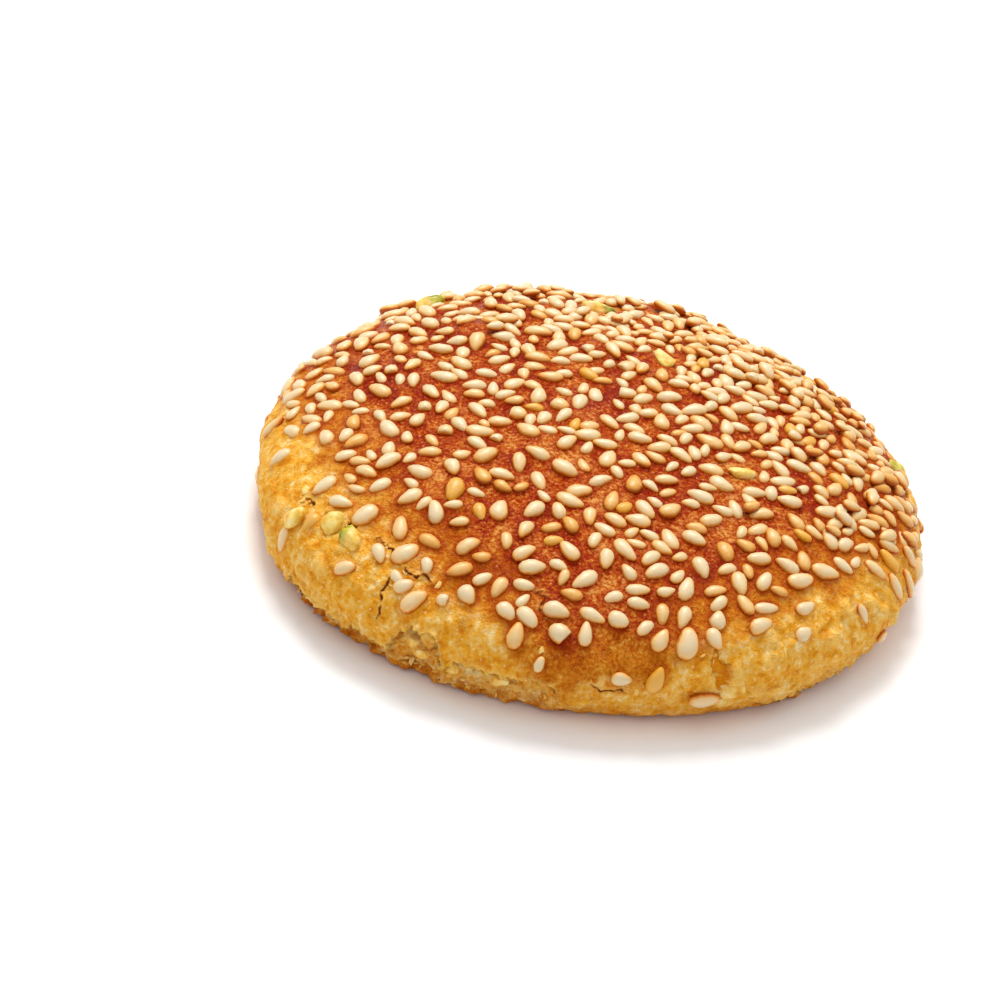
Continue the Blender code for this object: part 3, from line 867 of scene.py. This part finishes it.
def finishPiece(bm, name, smooth=True):
    mesh = bpy.data.meshes.new(name)
    for face in bm.faces:
        face.smooth = smooth
    bm.to_mesh(mesh)
    bm.free()
    piece = bpy.data.objects.new(name, mesh)
    bpy.context.scene.collection.objects.link(piece)
    print(name, sum(len(face.vertices) - 2 for face in mesh.polygons), "triangles")
    return piece


def addCopy(bm, mesh):
    # adds a copy of a small mesh, and returns its vertices
    before = len(bm.verts)
    bm.from_mesh(mesh)
    bm.verts.ensure_lookup_table()
    return bm.verts[before:]


def seedShape(seed, draw):
    # what makes this seed unlike the others
    luck = draw.random()
    if seeds["goldLuck"] < luck < seeds["toastedLuck"]:
        tone = seeds["toastedTone"] + (1 - seeds["toastedTone"]) * draw.random()
    else:
        tone = draw.random() * seeds["commonTone"]
    tone += seeds["rightTone"] * smoothStep(*seeds["rightFrom"], seed["middle"].x)
    return {
        "tone": seed.get("tone", tone),
        "gold": 1.0 if luck < seeds["goldLuck"] else 0.0,
        "end": seeds["chippedAt"] if luck > seeds["chippedLuck"] else 1.0,
        "up": seed["up"] * seed["across"].length * draw.uniform(*seeds["thicknessShare"]),
        "bend": draw.uniform(*seeds["bend"]),
        "hook": draw.uniform(*seeds["hook"]),
        "taper": seeds["taper"] * draw.uniform(*seeds["taperRange"]),
    }


# What is noted at each point of a seed: its height over the seed's middle, how toasted, how golden
seedMarks = ("rise", "tone", "gold")


def makeSeeds(laid):
    draw = random.Random(seeds["shapeDraw"])
    bm = bmesh.new()
    for name in seedMarks:
        bm.verts.layers.float.new(name)
    bmesh.ops.create_uvsphere(bm, u_segments=seeds["sides"], v_segments=seeds["rings"], radius=1)
    ball = bpy.data.meshes.new("seedTemplate")
    bm.to_mesh(ball)
    bm.clear()
    marks = {name: bm.verts.layers.float.new(name) for name in seedMarks}
    strength, often = seeds["lump"]
    for seed in laid:
        shape = seedShape(seed, draw)
        for vert in addCopy(bm, ball):
            along, across, above = vert.co.z, vert.co.x, vert.co.y
            slimmer = 1 - shape["taper"] * smoothStep(*seeds["taperFrom"], along)
            fuller = 1 + seeds["fullness"] * along * along
            unlike = noise.noise(vert.co * often + seed["middle"] * seeds["lumpPlace"])
            lump = fuller * (1 + strength * unlike)
            along = min(along, shape["end"])
            across = across * slimmer * lump + shape["hook"] * along * along
            above = above * (0.5 + 0.5 * slimmer) * lump        # it thins out half as much
            vert.co = seed["middle"] + seed["along"] * along + seed["across"] * across
            vert.co += shape["up"] * (above - shape["bend"] * along * along)
            vert[marks["rise"]] = above
            vert[marks["tone"]] = shape["tone"]
            vert[marks["gold"]] = shape["gold"]
    bmesh.ops.recalc_face_normals(bm, faces=bm.faces)
    return finishPiece(bm, "sesameSeeds")


# A chip of nut or of dough: a ball with cut faces, stretched and made lumpy
chips = {
    "subdivisions": 3,
    "cuts": 3,
    "cutTaken": 0.85,           # part of what lies past a cut that it takes off
    "lump": (0.20, 4),          # strength, and how many lumps to the ball
    "fineLump": (0.08, 11),
    "lumpPlace": 1000,          # sets each chip's lumps apart
}


def addChip(bm, draw, degrees, share, heading, size, sunk, cutDepth):
    # a chip of a given length, width and thickness; returns its vertices, and where each was on the
    # ball that it was cut from
    point, normal, roundIt, down = doughFrame(math.radians(degrees), share)
    turn = math.radians(heading)
    along = (roundIt * math.cos(turn) + down * math.sin(turn)).normalized()
    across = normal.cross(along)
    length, width, thick = size
    chip = bmesh.ops.create_icosphere(bm, subdivisions=chips["subdivisions"], radius=0.5)["verts"]
    cuts = [
        Vector([draw.uniform(-1, 1) for _ in range(3)]).normalized() for _ in range(chips["cuts"])
    ]
    balls = [vert.co.copy() for vert in chip]
    (strength, often), (fineStrength, fineOften) = chips["lump"], chips["fineLump"]
    for vert in chip:
        ball = vert.co.copy()
        for cut in cuts:
            ball -= cut * max(0.0, ball.dot(cut) - cutDepth) * chips["cutTaken"]
        lump = 1 + strength * noise.noise(ball * often + point * chips["lumpPlace"])
        lump += fineStrength * noise.noise(ball * fineOften)
        shaped = along * length * ball.x + across * width * ball.y + normal * thick * ball.z
        vert.co = point - normal * sunk + shaped * lump
    low = min(vert.co.z for vert in chip)
    bmesh.ops.translate(bm, verts=chip, vec=(0, 0, max(0, nuts["clearOfBase"] - low)))
    return chip, balls


# What is noted at each point of a nut: how much skin it has, and how green that is
nutMarks = ("skin", "greenness")


def makeNuts():
    draw = random.Random(nuts["draw"])
    bm = bmesh.new()
    marks = {name: bm.verts.layers.float.new(name) for name in nutMarks}
    along, aside, above = nuts["skinTip"]
    slivers = [(*place, green) for place, green in zip(nuts["places"], nuts["greenness"])]
    for degrees, share, length, width, thick, heading, green in (*slivers, *nuts["more"]):
        if green is None:
            continue
        tip = Vector((along, draw.uniform(-aside, aside), above)).normalized()
        size, sunk = (length, width, thick), -thick * nuts["proud"]
        chip, balls = addChip(bm, draw, degrees, share, heading, size, sunk, nuts["cutDepth"])
        for vert, ball in zip(chip, balls):
            vert[marks["skin"]] = smoothStep(*nuts["skinEdge"], ball.dot(tip))
            vert[marks["greenness"]] = green
    bmesh.ops.recalc_face_normals(bm, faces=bm.faces)
    return finishPiece(bm, "pistachioChips")


# Bits and crumbs of dough, in and beside the broken edges
crumbs = {
    "draw": 59,
    "bits": (                   # degrees, share, heading, length, width, thickness, sunk; in mm
        (300, 0.86, 15, 3.4, 2.6, 2.0, -0.1),
        (252, 0.88, 30, 2.0, 1.8, 1.4, 0.6),
        (260, 0.89, 10, 2.5, 2.0, 1.5, 0.6),
        (307, 0.88, -10, 3.9, 1.1, 1.0, 0.0),
        (247, 0.84, 20, 2.4, 2.2, 1.6, 1.3),
        (250, 0.83, 60, 2.6, 2.0, 1.6, 1.5),
        (244, 0.85, 40, 1.8, 1.6, 1.4, 1.2),
        (246, 0.88, -20, 2.2, 1.6, 1.2, 0.9),
        (236, 0.88, 5, 2.6, 1.3, 0.9, 0.6),
        (229, 0.87, 15, 2.0, 1.1, 0.9, 0.6),
        (292, 0.81, -60, 2.0, 0.5, 0.4, 0.0),
        (310, 0.79, -75, 2.1, 0.4, 0.4, 0.0),
        (312, 0.82, -60, 1.2, 0.5, 0.4, 0.0),
        (266, 0.78, -80, 1.1, 0.7, 0.5, 0.0),
        (283, 0.86, -80, 1.4, 0.9, 0.6, 0.0),
        (244, 0.70, -80, 1.2, 0.8, 0.5, 0.0),
        (216, 0.70, 50, 1.6, 1.3, 0.9, 0.0),
        (208, 0.72, 20, 1.8, 1.2, 0.8, 0.1),
    ),
    "cutDepth": 0.26,
    "count": 240,
    "size": (0.00030, 0.00090),
    "stretch": ((0.8, 1.8), (0.6, 1.2), (0.22, 0.5)),   # along, across and through a flake
    "lump": 0.35,
    "fromCracks": 0.22,         # part of the flakes that lie along the cracks
    "bareCrack": 3,             # number of the crack, from 0, that has none
    "clearOfEnds": 3,           # degrees of a broken stretch's ends that hold no flakes
    "strayDegrees": 1.3,
    "strayShare": 0.016,
    "lowest": 0.0006,           # of a flake's middle, in a recess
    "clearOfFloor": 0.00002,
}


def flakeSpot(draw, walls):
    # where a flake lies, in the recess under a broken edge or beside a crack
    if draw.random() < crumbs["fromCracks"]:
        bare = crumbs["bareCrack"]
        degrees, share = draw.choice(cracks["places"][:bare] + cracks["places"][bare + 1:])[:2]
        degrees += draw.gauss(0, crumbs["strayDegrees"])
        return doughPoint(math.radians(degrees), share + draw.gauss(0, crumbs["strayShare"]))
    first, last, height, turns, cuts = draw.choice(walls)
    clear = crumbs["clearOfEnds"]
    degrees, z = draw.uniform(first + clear, last - clear), draw.uniform(crumbs["lowest"], height)
    turn = math.radians(degrees)
    skin = rawOutline(turn) * np.interp(z, heights[::-1], radii[::-1])
    radius = float(min(np.interp(degrees, turns, cuts), skin))
    return Vector((radius * math.cos(turn), radius * math.sin(turn), z)) - middle


def makeCrumbs():
    draw = random.Random(crumbs["draw"])
    bm = bmesh.new()
    walls = ledgeWalls()
    for degrees, share, heading, *size, sunk in crumbs["bits"]:
        size = [measure * millimetre for measure in size]
        addChip(bm, draw, degrees, share, heading, size, sunk * millimetre, crumbs["cutDepth"])
    for _ in range(crumbs["count"]):
        small, large = crumbs["size"]
        size = small + (large - small) * draw.random() ** 2     # most are small
        flake = bmesh.ops.create_icosphere(bm, subdivisions=1, radius=size / 2)["verts"]
        stretch = Vector([draw.uniform(*limits) for limits in crumbs["stretch"]])
        angle, axis = draw.uniform(0, math.tau), Vector([draw.gauss(0, 1) for _ in range(3)])
        turned = Matrix.Rotation(angle, 3, axis)
        spot = flakeSpot(draw, walls)
        for vert in flake:
            vert.co = turned @ (vert.co * (1 + crumbs["lump"] * draw.uniform(-1, 1)) * stretch) + spot
            vert.co.z = max(vert.co.z, crumbs["clearOfFloor"])
    bmesh.ops.recalc_face_normals(bm, faces=bm.faces)
    return finishPiece(bm, "doughCrumbs", smooth=False)


def linear(code):
    channels = [int(code[n:n + 2], 16) / 255 for n in (1, 3, 5)]
    return (*[c / 12.92 if c <= 0.04045 else ((c + 0.055) / 1.055) ** 2.4 for c in channels], 1)


def feed(tree, node, inputs):
    for name, value in inputs.items():
        if isinstance(value, bpy.types.NodeSocket):
            tree.links.new(value, node.inputs[name])
        else:
            node.inputs[name].default_value = value


def addNode(tree, kind, inputs=None, out=0, stops=(), **settings):
    # adds a node with its settings and links, and returns one of its outputs; a Mix node of colours
    # takes them at its inputs 6 and 7, and gives the mix at its output 2
    node = tree.nodes.new("ShaderNode" + kind)
    for name, value in settings.items():
        setattr(node, name, value)
    feed(tree, node, inputs or {})
    if stops:
        ramp = node.color_ramp.elements
        while len(ramp) < len(stops):
            ramp.new(1.0)
        for element, (place, code) in zip(ramp, stops):
            element.position = place
            element.color = linear(code)
    return node.outputs[out]


def newMaterial(name):
    made = bpy.data.materials.new(name)
    made.use_nodes = True
    return made, made.node_tree, made.node_tree.nodes["Principled BSDF"]


def crustMaterial():
    # Short dough baked under egg wash: the washed top is a satin red-brown skin with a fine grain,
    # the unwashed rim is dry, golden and flecked with fat, and the base is browned by the tray
    made, tree, shader = newMaterial("eggWashedShortDough")
    browning, seedPoolAndShade, crackShade, gap, broken, lip, buried, foot, torn, under = [
        addNode(tree, "Attribute", out="Fac", attribute_name=name) for name in crustMarks
    ]
    place = addNode(tree, "TexCoord", out="Object")
    # the oven's uneven browning, patches and flecks of fat, and the skin's grain, by size in mm
    broad, patch, fleck, grainy, fine = [
        addNode(tree, "TexNoise", {"Vector": place, "Scale": 1000 / size, "Detail": 3})
        for size in (9, 2.6, 1.0, 0.45, 0.24)
    ]
    height = addNode(tree, "SeparateXYZ", {0: place}, out="Z")

    # the glaze, from its darkest pools to the amber where it thins out
    tone = -0.59
    for pattern, share in ((broad, 0.60), (patch, 0.50), (grainy, 0.76), (fine, 0.30)):
        tone = addNode(tree, "Math", {0: pattern, 1: share, 2: tone}, operation="MULTIPLY_ADD")
    glaze = addNode(tree, "ValToRGB", {"Fac": tone}, stops=(
        (0.28, "#8e1400"), (0.42, "#a63000"), (0.55, "#c46212"), (0.72, "#eaac5a"),
    ))
    specksApart = 0.75          # mm between the pale specks of fat
    spot = addNode(tree, "TexVoronoi", {"Vector": place, "Scale": 1000 / specksApart})
    speck = addNode(tree, "MapRange", {
        "Value": spot, "From Min": 0.26, "From Max": 0.10, "To Max": 0.6,
    })
    inputs = {0: speck, 6: glaze, 7: linear("#efb070")}
    glaze = addNode(tree, "Mix", inputs, out=2, data_type="RGBA")
    amber = addNode(tree, "ValToRGB", {"Fac": tone}, stops=(
        (0.26, "#b85602"), (0.50, "#d07c10"), (0.74, "#e8aa40"),
    ))

    # the bare dough and, darker, what lay on the tray
    dry = -0.21
    for pattern, share in ((patch, 0.50), (fleck, 0.62), (grainy, 0.30)):
        dry = addNode(tree, "Math", {0: pattern, 1: share, 2: dry}, operation="MULTIPLY_ADD")
    bare = addNode(tree, "ValToRGB", {"Fac": dry}, stops=(
        (0.32, "#de840e"), (0.45, "#eda62a"), (0.57, "#f4bc56"), (0.72, "#fce4a8"),
    ))
    inputs = {0: speck, 6: bare, 7: linear("#f9e0a8")}
    bare = addNode(tree, "Mix", inputs, out=2, data_type="RGBA")
    recess = addNode(tree, "ValToRGB", {"Fac": dry}, stops=(
        (0.30, "#e88e14"), (0.42, "#fcb440"), (0.54, "#ffd474"), (0.69, "#ffebb0"),
    ))
    baked = addNode(tree, "ValToRGB", {"Fac": dry}, stops=(
        (0.30, "#b05000"), (0.50, "#d87a0e"), (0.72, "#f2ac48"),
    ))

    # the wash thins out into the bare dough along an uneven line
    edge = addNode(tree, "Math", {0: patch, 1: 0.16, 2: -0.08}, operation="MULTIPLY_ADD")
    edge = addNode(tree, "Math", {0: edge, 1: browning}, operation="ADD")
    toAmber = addNode(tree, "MapRange", {"Value": edge, "From Min": -0.20, "From Max": -0.01})
    toBare = addNode(tree, "MapRange", {"Value": edge, "From Min": -0.02, "From Max": 0.05})
    colour = addNode(tree, "Mix", {0: toAmber, 6: glaze, 7: amber}, out=2, data_type="RGBA")
    colour = addNode(tree, "Mix", {0: toBare, 6: colour, 7: bare}, out=2, data_type="RGBA")

    # layers laid over it: how strongly each shows, and its colour
    layers = (
        # the glaze pooled round each seed, darker, partly real pooling and partly painted contact shade
        (seedPoolAndShade, 0.70, linear("#c83404"), "MULTIPLY"),
        (buried, 0.45, linear("#f8cf74"), "MIX"),
        (broken, 1.0, recess, "MIX"),
        (foot, 0.80, baked, "MIX"),
        (lip, 0.60, linear("#fdce6c"), "MIX"),
        (gap, 0.85, linear("#f09a10"), "MIX"),
        # painted shade inside the cracks and right under the broken edges
        (crackShade, 0.90, linear("#8a3000"), "MIX"),
    )
    for mark, strength, paint, blend in layers:
        part = addNode(tree, "Math", {0: mark, 1: strength}, operation="MULTIPLY")
        inputs = {0: part, 6: colour, 7: paint}
        colour = addNode(tree, "Mix", inputs, out=2, data_type="RGBA", blend_type=blend)
    # the tray browns what is low down and under it
    low = addNode(tree, "MapRange", {
        "Value": height, "From Min": 0.0034, "From Max": 0.0004, "To Max": 0.80,
    })
    low = addNode(tree, "Math", {0: low, 1: under}, operation="MAXIMUM")
    colour = addNode(tree, "Mix", {0: low, 6: colour, 7: baked}, out=2, data_type="RGBA")

    matte = addNode(tree, "Math", {0: toBare, 1: torn}, operation="MAXIMUM")
    rough = addNode(tree, "MapRange", {"Value": matte, "To Min": 0.20, "To Max": 0.64})
    relief = 0
    for pattern, share in ((grainy, 0.8), (fine, 0.9)):
        relief = addNode(tree, "Math", {0: pattern, 1: share, 2: relief}, operation="MULTIPLY_ADD")
    bump = addNode(tree, "Bump", {"Height": relief, "Strength": 1.0, "Distance": 0.00032})
    feed(tree, shader, {
        "Base Color": colour,
        "Roughness": rough,
        "Normal": bump,
        "IOR": 1.45,
        "Specular IOR Level": 0.15,
        "Specular Tint": linear("#ffd0a0"),
        "Subsurface Weight": 0.18,
        "Subsurface Radius": (1.0, 0.5, 0.2),
        "Subsurface Scale": 0.0012,
    })
    return made


def seedMaterial():
    # Hulled sesame, toasted in the oven: an oily satin kernel, cream on top and honey lower down, partly
    # where it bakes and soaks up glaze, partly painted light: lit on top, shaded below
    made, tree, shader = newMaterial("toastedHulledSesame")
    rise, tone, gold = [
        addNode(tree, "Attribute", out="Fac", attribute_name=name) for name in seedMarks
    ]
    place = addNode(tree, "TexCoord", out="Object")
    mottle = addNode(tree, "TexNoise", {"Vector": place, "Scale": 1000 / 1.1, "Detail": 3})
    fine = addNode(tree, "TexNoise", {"Vector": place, "Scale": 1000 / 0.35})
    level = 0.28                # paler towards the top, partly as painted light from above, and the less it is toasted
    for pattern, share in ((rise, 0.60), (mottle, 0.32), (tone, -0.24)):
        level = addNode(tree, "Math", {0: pattern, 1: share, 2: level}, operation="MULTIPLY_ADD")
    cream = addNode(tree, "ValToRGB", {"Fac": level}, stops=(
        (0.33, "#b85200"), (0.48, "#e0922a"), (0.64, "#e8bd7a"), (0.88, "#e2cba2"),
    ))
    tan = addNode(tree, "ValToRGB", {"Fac": level}, stops=(
        (0.30, "#ac5206"), (0.52, "#d9902e"), (0.85, "#e8be72"),
    ))
    toasted = addNode(tree, "MapRange", {"Value": tone, "From Min": 0.55, "From Max": 0.95})
    colour = addNode(tree, "Mix", {0: toasted, 6: cream, 7: tan}, out=2, data_type="RGBA")
    golden = addNode(tree, "Math", {0: gold, 1: 0.8}, operation="MULTIPLY")
    inputs = {0: golden, 6: colour, 7: linear("#e3a21c")}
    colour = addNode(tree, "Mix", inputs, out=2, data_type="RGBA")
    bump = addNode(tree, "Bump", {"Height": fine, "Strength": 0.5, "Distance": 0.00008})
    feed(tree, shader, {
        "Base Color": colour,
        "Normal": bump,
        "Roughness": 0.34,
        "IOR": 1.47,
        "Specular IOR Level": 0.40,
        "Subsurface Weight": 0.25,
        "Subsurface Radius": (1.0, 0.60, 0.30),
        "Subsurface Scale": 0.0008,
    })
    return made


def nutMaterial():
    # Chopped pistachio: dull green skin on one side and pale yellow-green flesh where it is cut
    made, tree, shader = newMaterial("choppedPistachio")
    skin, green = [
        addNode(tree, "Attribute", out="Fac", attribute_name=name) for name in nutMarks
    ]
    place = addNode(tree, "TexCoord", out="Object")
    mottle = addNode(tree, "TexNoise", {"Vector": place, "Scale": 1000 / 1.1, "Detail": 3})
    fine = addNode(tree, "TexNoise", {"Vector": place, "Scale": 1000 / 0.5, "Detail": 3})
    flesh = addNode(tree, "ValToRGB", {"Fac": mottle}, stops=(
        (0.30, "#e2a41c"), (0.50, "#f0ca5c"), (0.70, "#f6e0a4"),
    ))
    peel = addNode(tree, "ValToRGB", {"Fac": mottle}, stops=(
        (0.30, "#4a6400"), (0.50, "#949e06"), (0.70, "#d4c41c"),
    ))
    part = addNode(tree, "Math", {0: skin, 1: green}, operation="MULTIPLY")
    colour = addNode(tree, "Mix", {0: part, 6: flesh, 7: peel}, out=2, data_type="RGBA")
    bump = addNode(tree, "Bump", {"Height": fine, "Strength": 0.5, "Distance": 0.0001})
    feed(tree, shader, {
        "Base Color": colour,
        "Normal": bump,
        "Roughness": 0.42,
        "IOR": 1.47,
        "Subsurface Weight": 0.2,
        "Subsurface Scale": 0.0008,
    })
    return made


def crumbMaterial():
    # Crumbs of the short dough: dry, matt and a little paler than the crust that they broke from
    made, tree, shader = newMaterial("dryDoughCrumb")
    place = addNode(tree, "TexCoord", out="Object")
    mottle = addNode(tree, "TexNoise", {"Vector": place, "Scale": 1000 / 1.4, "Detail": 3})
    fine = addNode(tree, "TexNoise", {"Vector": place, "Scale": 1000 / 0.4, "Detail": 3})
    colour = addNode(tree, "ValToRGB", {"Fac": mottle}, stops=(
        (0.32, "#d88c20"), (0.50, "#efbe58"), (0.68, "#f7dc94"),
    ))
    bump = addNode(tree, "Bump", {"Height": fine, "Strength": 0.8, "Distance": 0.00015})
    feed(tree, shader, {"Base Color": colour, "Normal": bump, "Roughness": 0.65, "Specular IOR Level": 0.15})
    return made


# Studio: pale floor, soft light from above, and the camera at the photo's angle
studio = {
    "elevation": 35,
    "roll": 10,
    "distance": 0.42,
    "frameWidth": 0.1235,       # metres across the frame, at the biscuit
    "target": (0, 0, 0.0075),
    "targetPixel": (594, 477),  # where it shows in the frame
    "framePixels": 1000,
    "sensor": 36,
    "horizon": 0.48,            # brightness of the surroundings, low down and overhead
    "overhead": 1.12,
    "keyPlace": (-0.08, 0.40, 0.60),
    "keySize": 0.30,
    "keyPower": 4.1,
    "floorSize": 3,             # half its width
    "floorDrop": 0.00005,       # how far it lies under the base
}


def makeCamera():
    elevation, roll = math.radians(studio["elevation"]), math.radians(studio["roll"])
    back = Vector((0, -math.cos(elevation), math.sin(elevation)))
    right = Vector((1, 0, 0))
    up = back.cross(right)
    frameRight = right * math.cos(roll) + up * math.sin(roll)
    frameUp = up * math.cos(roll) - right * math.sin(roll)
    pixel = studio["frameWidth"] / studio["framePixels"]
    across, down = [place - studio["framePixels"] / 2 for place in studio["targetPixel"]]
    aim = Vector(studio["target"]) - frameRight * across * pixel + frameUp * down * pixel
    camera = bpy.data.objects.new("photoCamera", bpy.data.cameras.new("photoCamera"))
    bpy.context.scene.collection.objects.link(camera)
    camera.data.sensor_width = studio["sensor"]
    camera.data.lens = studio["sensor"] * studio["distance"] / studio["frameWidth"]
    axes = Matrix((frameRight, frameUp, back)).transposed().to_4x4()
    camera.matrix_world = Matrix.Translation(aim + back * studio["distance"]) @ axes
    bpy.context.scene.camera = camera


def makeLights():
    light = bpy.data.lights.new("softKey", "AREA")
    light.energy = studio["keyPower"]
    light.size = studio["keySize"]
    key = bpy.data.objects.new("softKey", light)
    bpy.context.scene.collection.objects.link(key)
    key.location = studio["keyPlace"]
    key.rotation_euler = (-key.location).to_track_quat("-Z", "Y").to_euler()

    world = bpy.data.worlds.new("softWhite")
    world.use_nodes = True
    tree = world.node_tree
    way = addNode(tree, "TexCoord", out="Generated")
    level = addNode(tree, "SeparateXYZ", {0: way}, out="Z")
    strength = addNode(tree, "MapRange", {
        "Value": level, "From Min": 0.3, "To Min": studio["horizon"], "To Max": studio["overhead"],
    })
    feed(tree, tree.nodes["Background"], {"Color": (1, 1, 1, 1), "Strength": strength})
    bpy.context.scene.world = world
    bpy.context.scene.view_settings.view_transform = "Standard"


def makeFloor():
    bm = bmesh.new()
    bmesh.ops.create_grid(bm, x_segments=1, y_segments=1, size=studio["floorSize"])
    bmesh.ops.translate(bm, verts=bm.verts, vec=(0, 0, -studio["floorDrop"]))
    floor = finishPiece(bm, "paleFloor")
    made, tree, shader = newMaterial("matteWhiteBoard")
    feed(tree, shader, {"Base Color": linear("#fafafa"), "Roughness": 0.9})
    floor.data.materials.append(made)


def main():
    makeCamera()
    makeLights()
    makeFloor()
    print("camera, light and floor are set")
    draw = random.Random(cracks["draw"])
    paths = [crackPath(draw, *place[:4]) for place in cracks["places"]]
    laid = placeSeeds(paths)
    pieces = (
        (makeCrust(paths, laid), crustMaterial(), "glazed_crust"),
        (makeSeeds(laid), seedMaterial(), "sesame_seed"),
        (makeNuts(), nutMaterial(), "pistachio"),
        (makeCrumbs(), crumbMaterial(), "golden_dough"),
    )
    for piece, finish, slot in pieces:
        piece.data.materials.append(finish)
        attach(piece, "root")
    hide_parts("biscuit")
    print("pieces ride on the frame")


main()
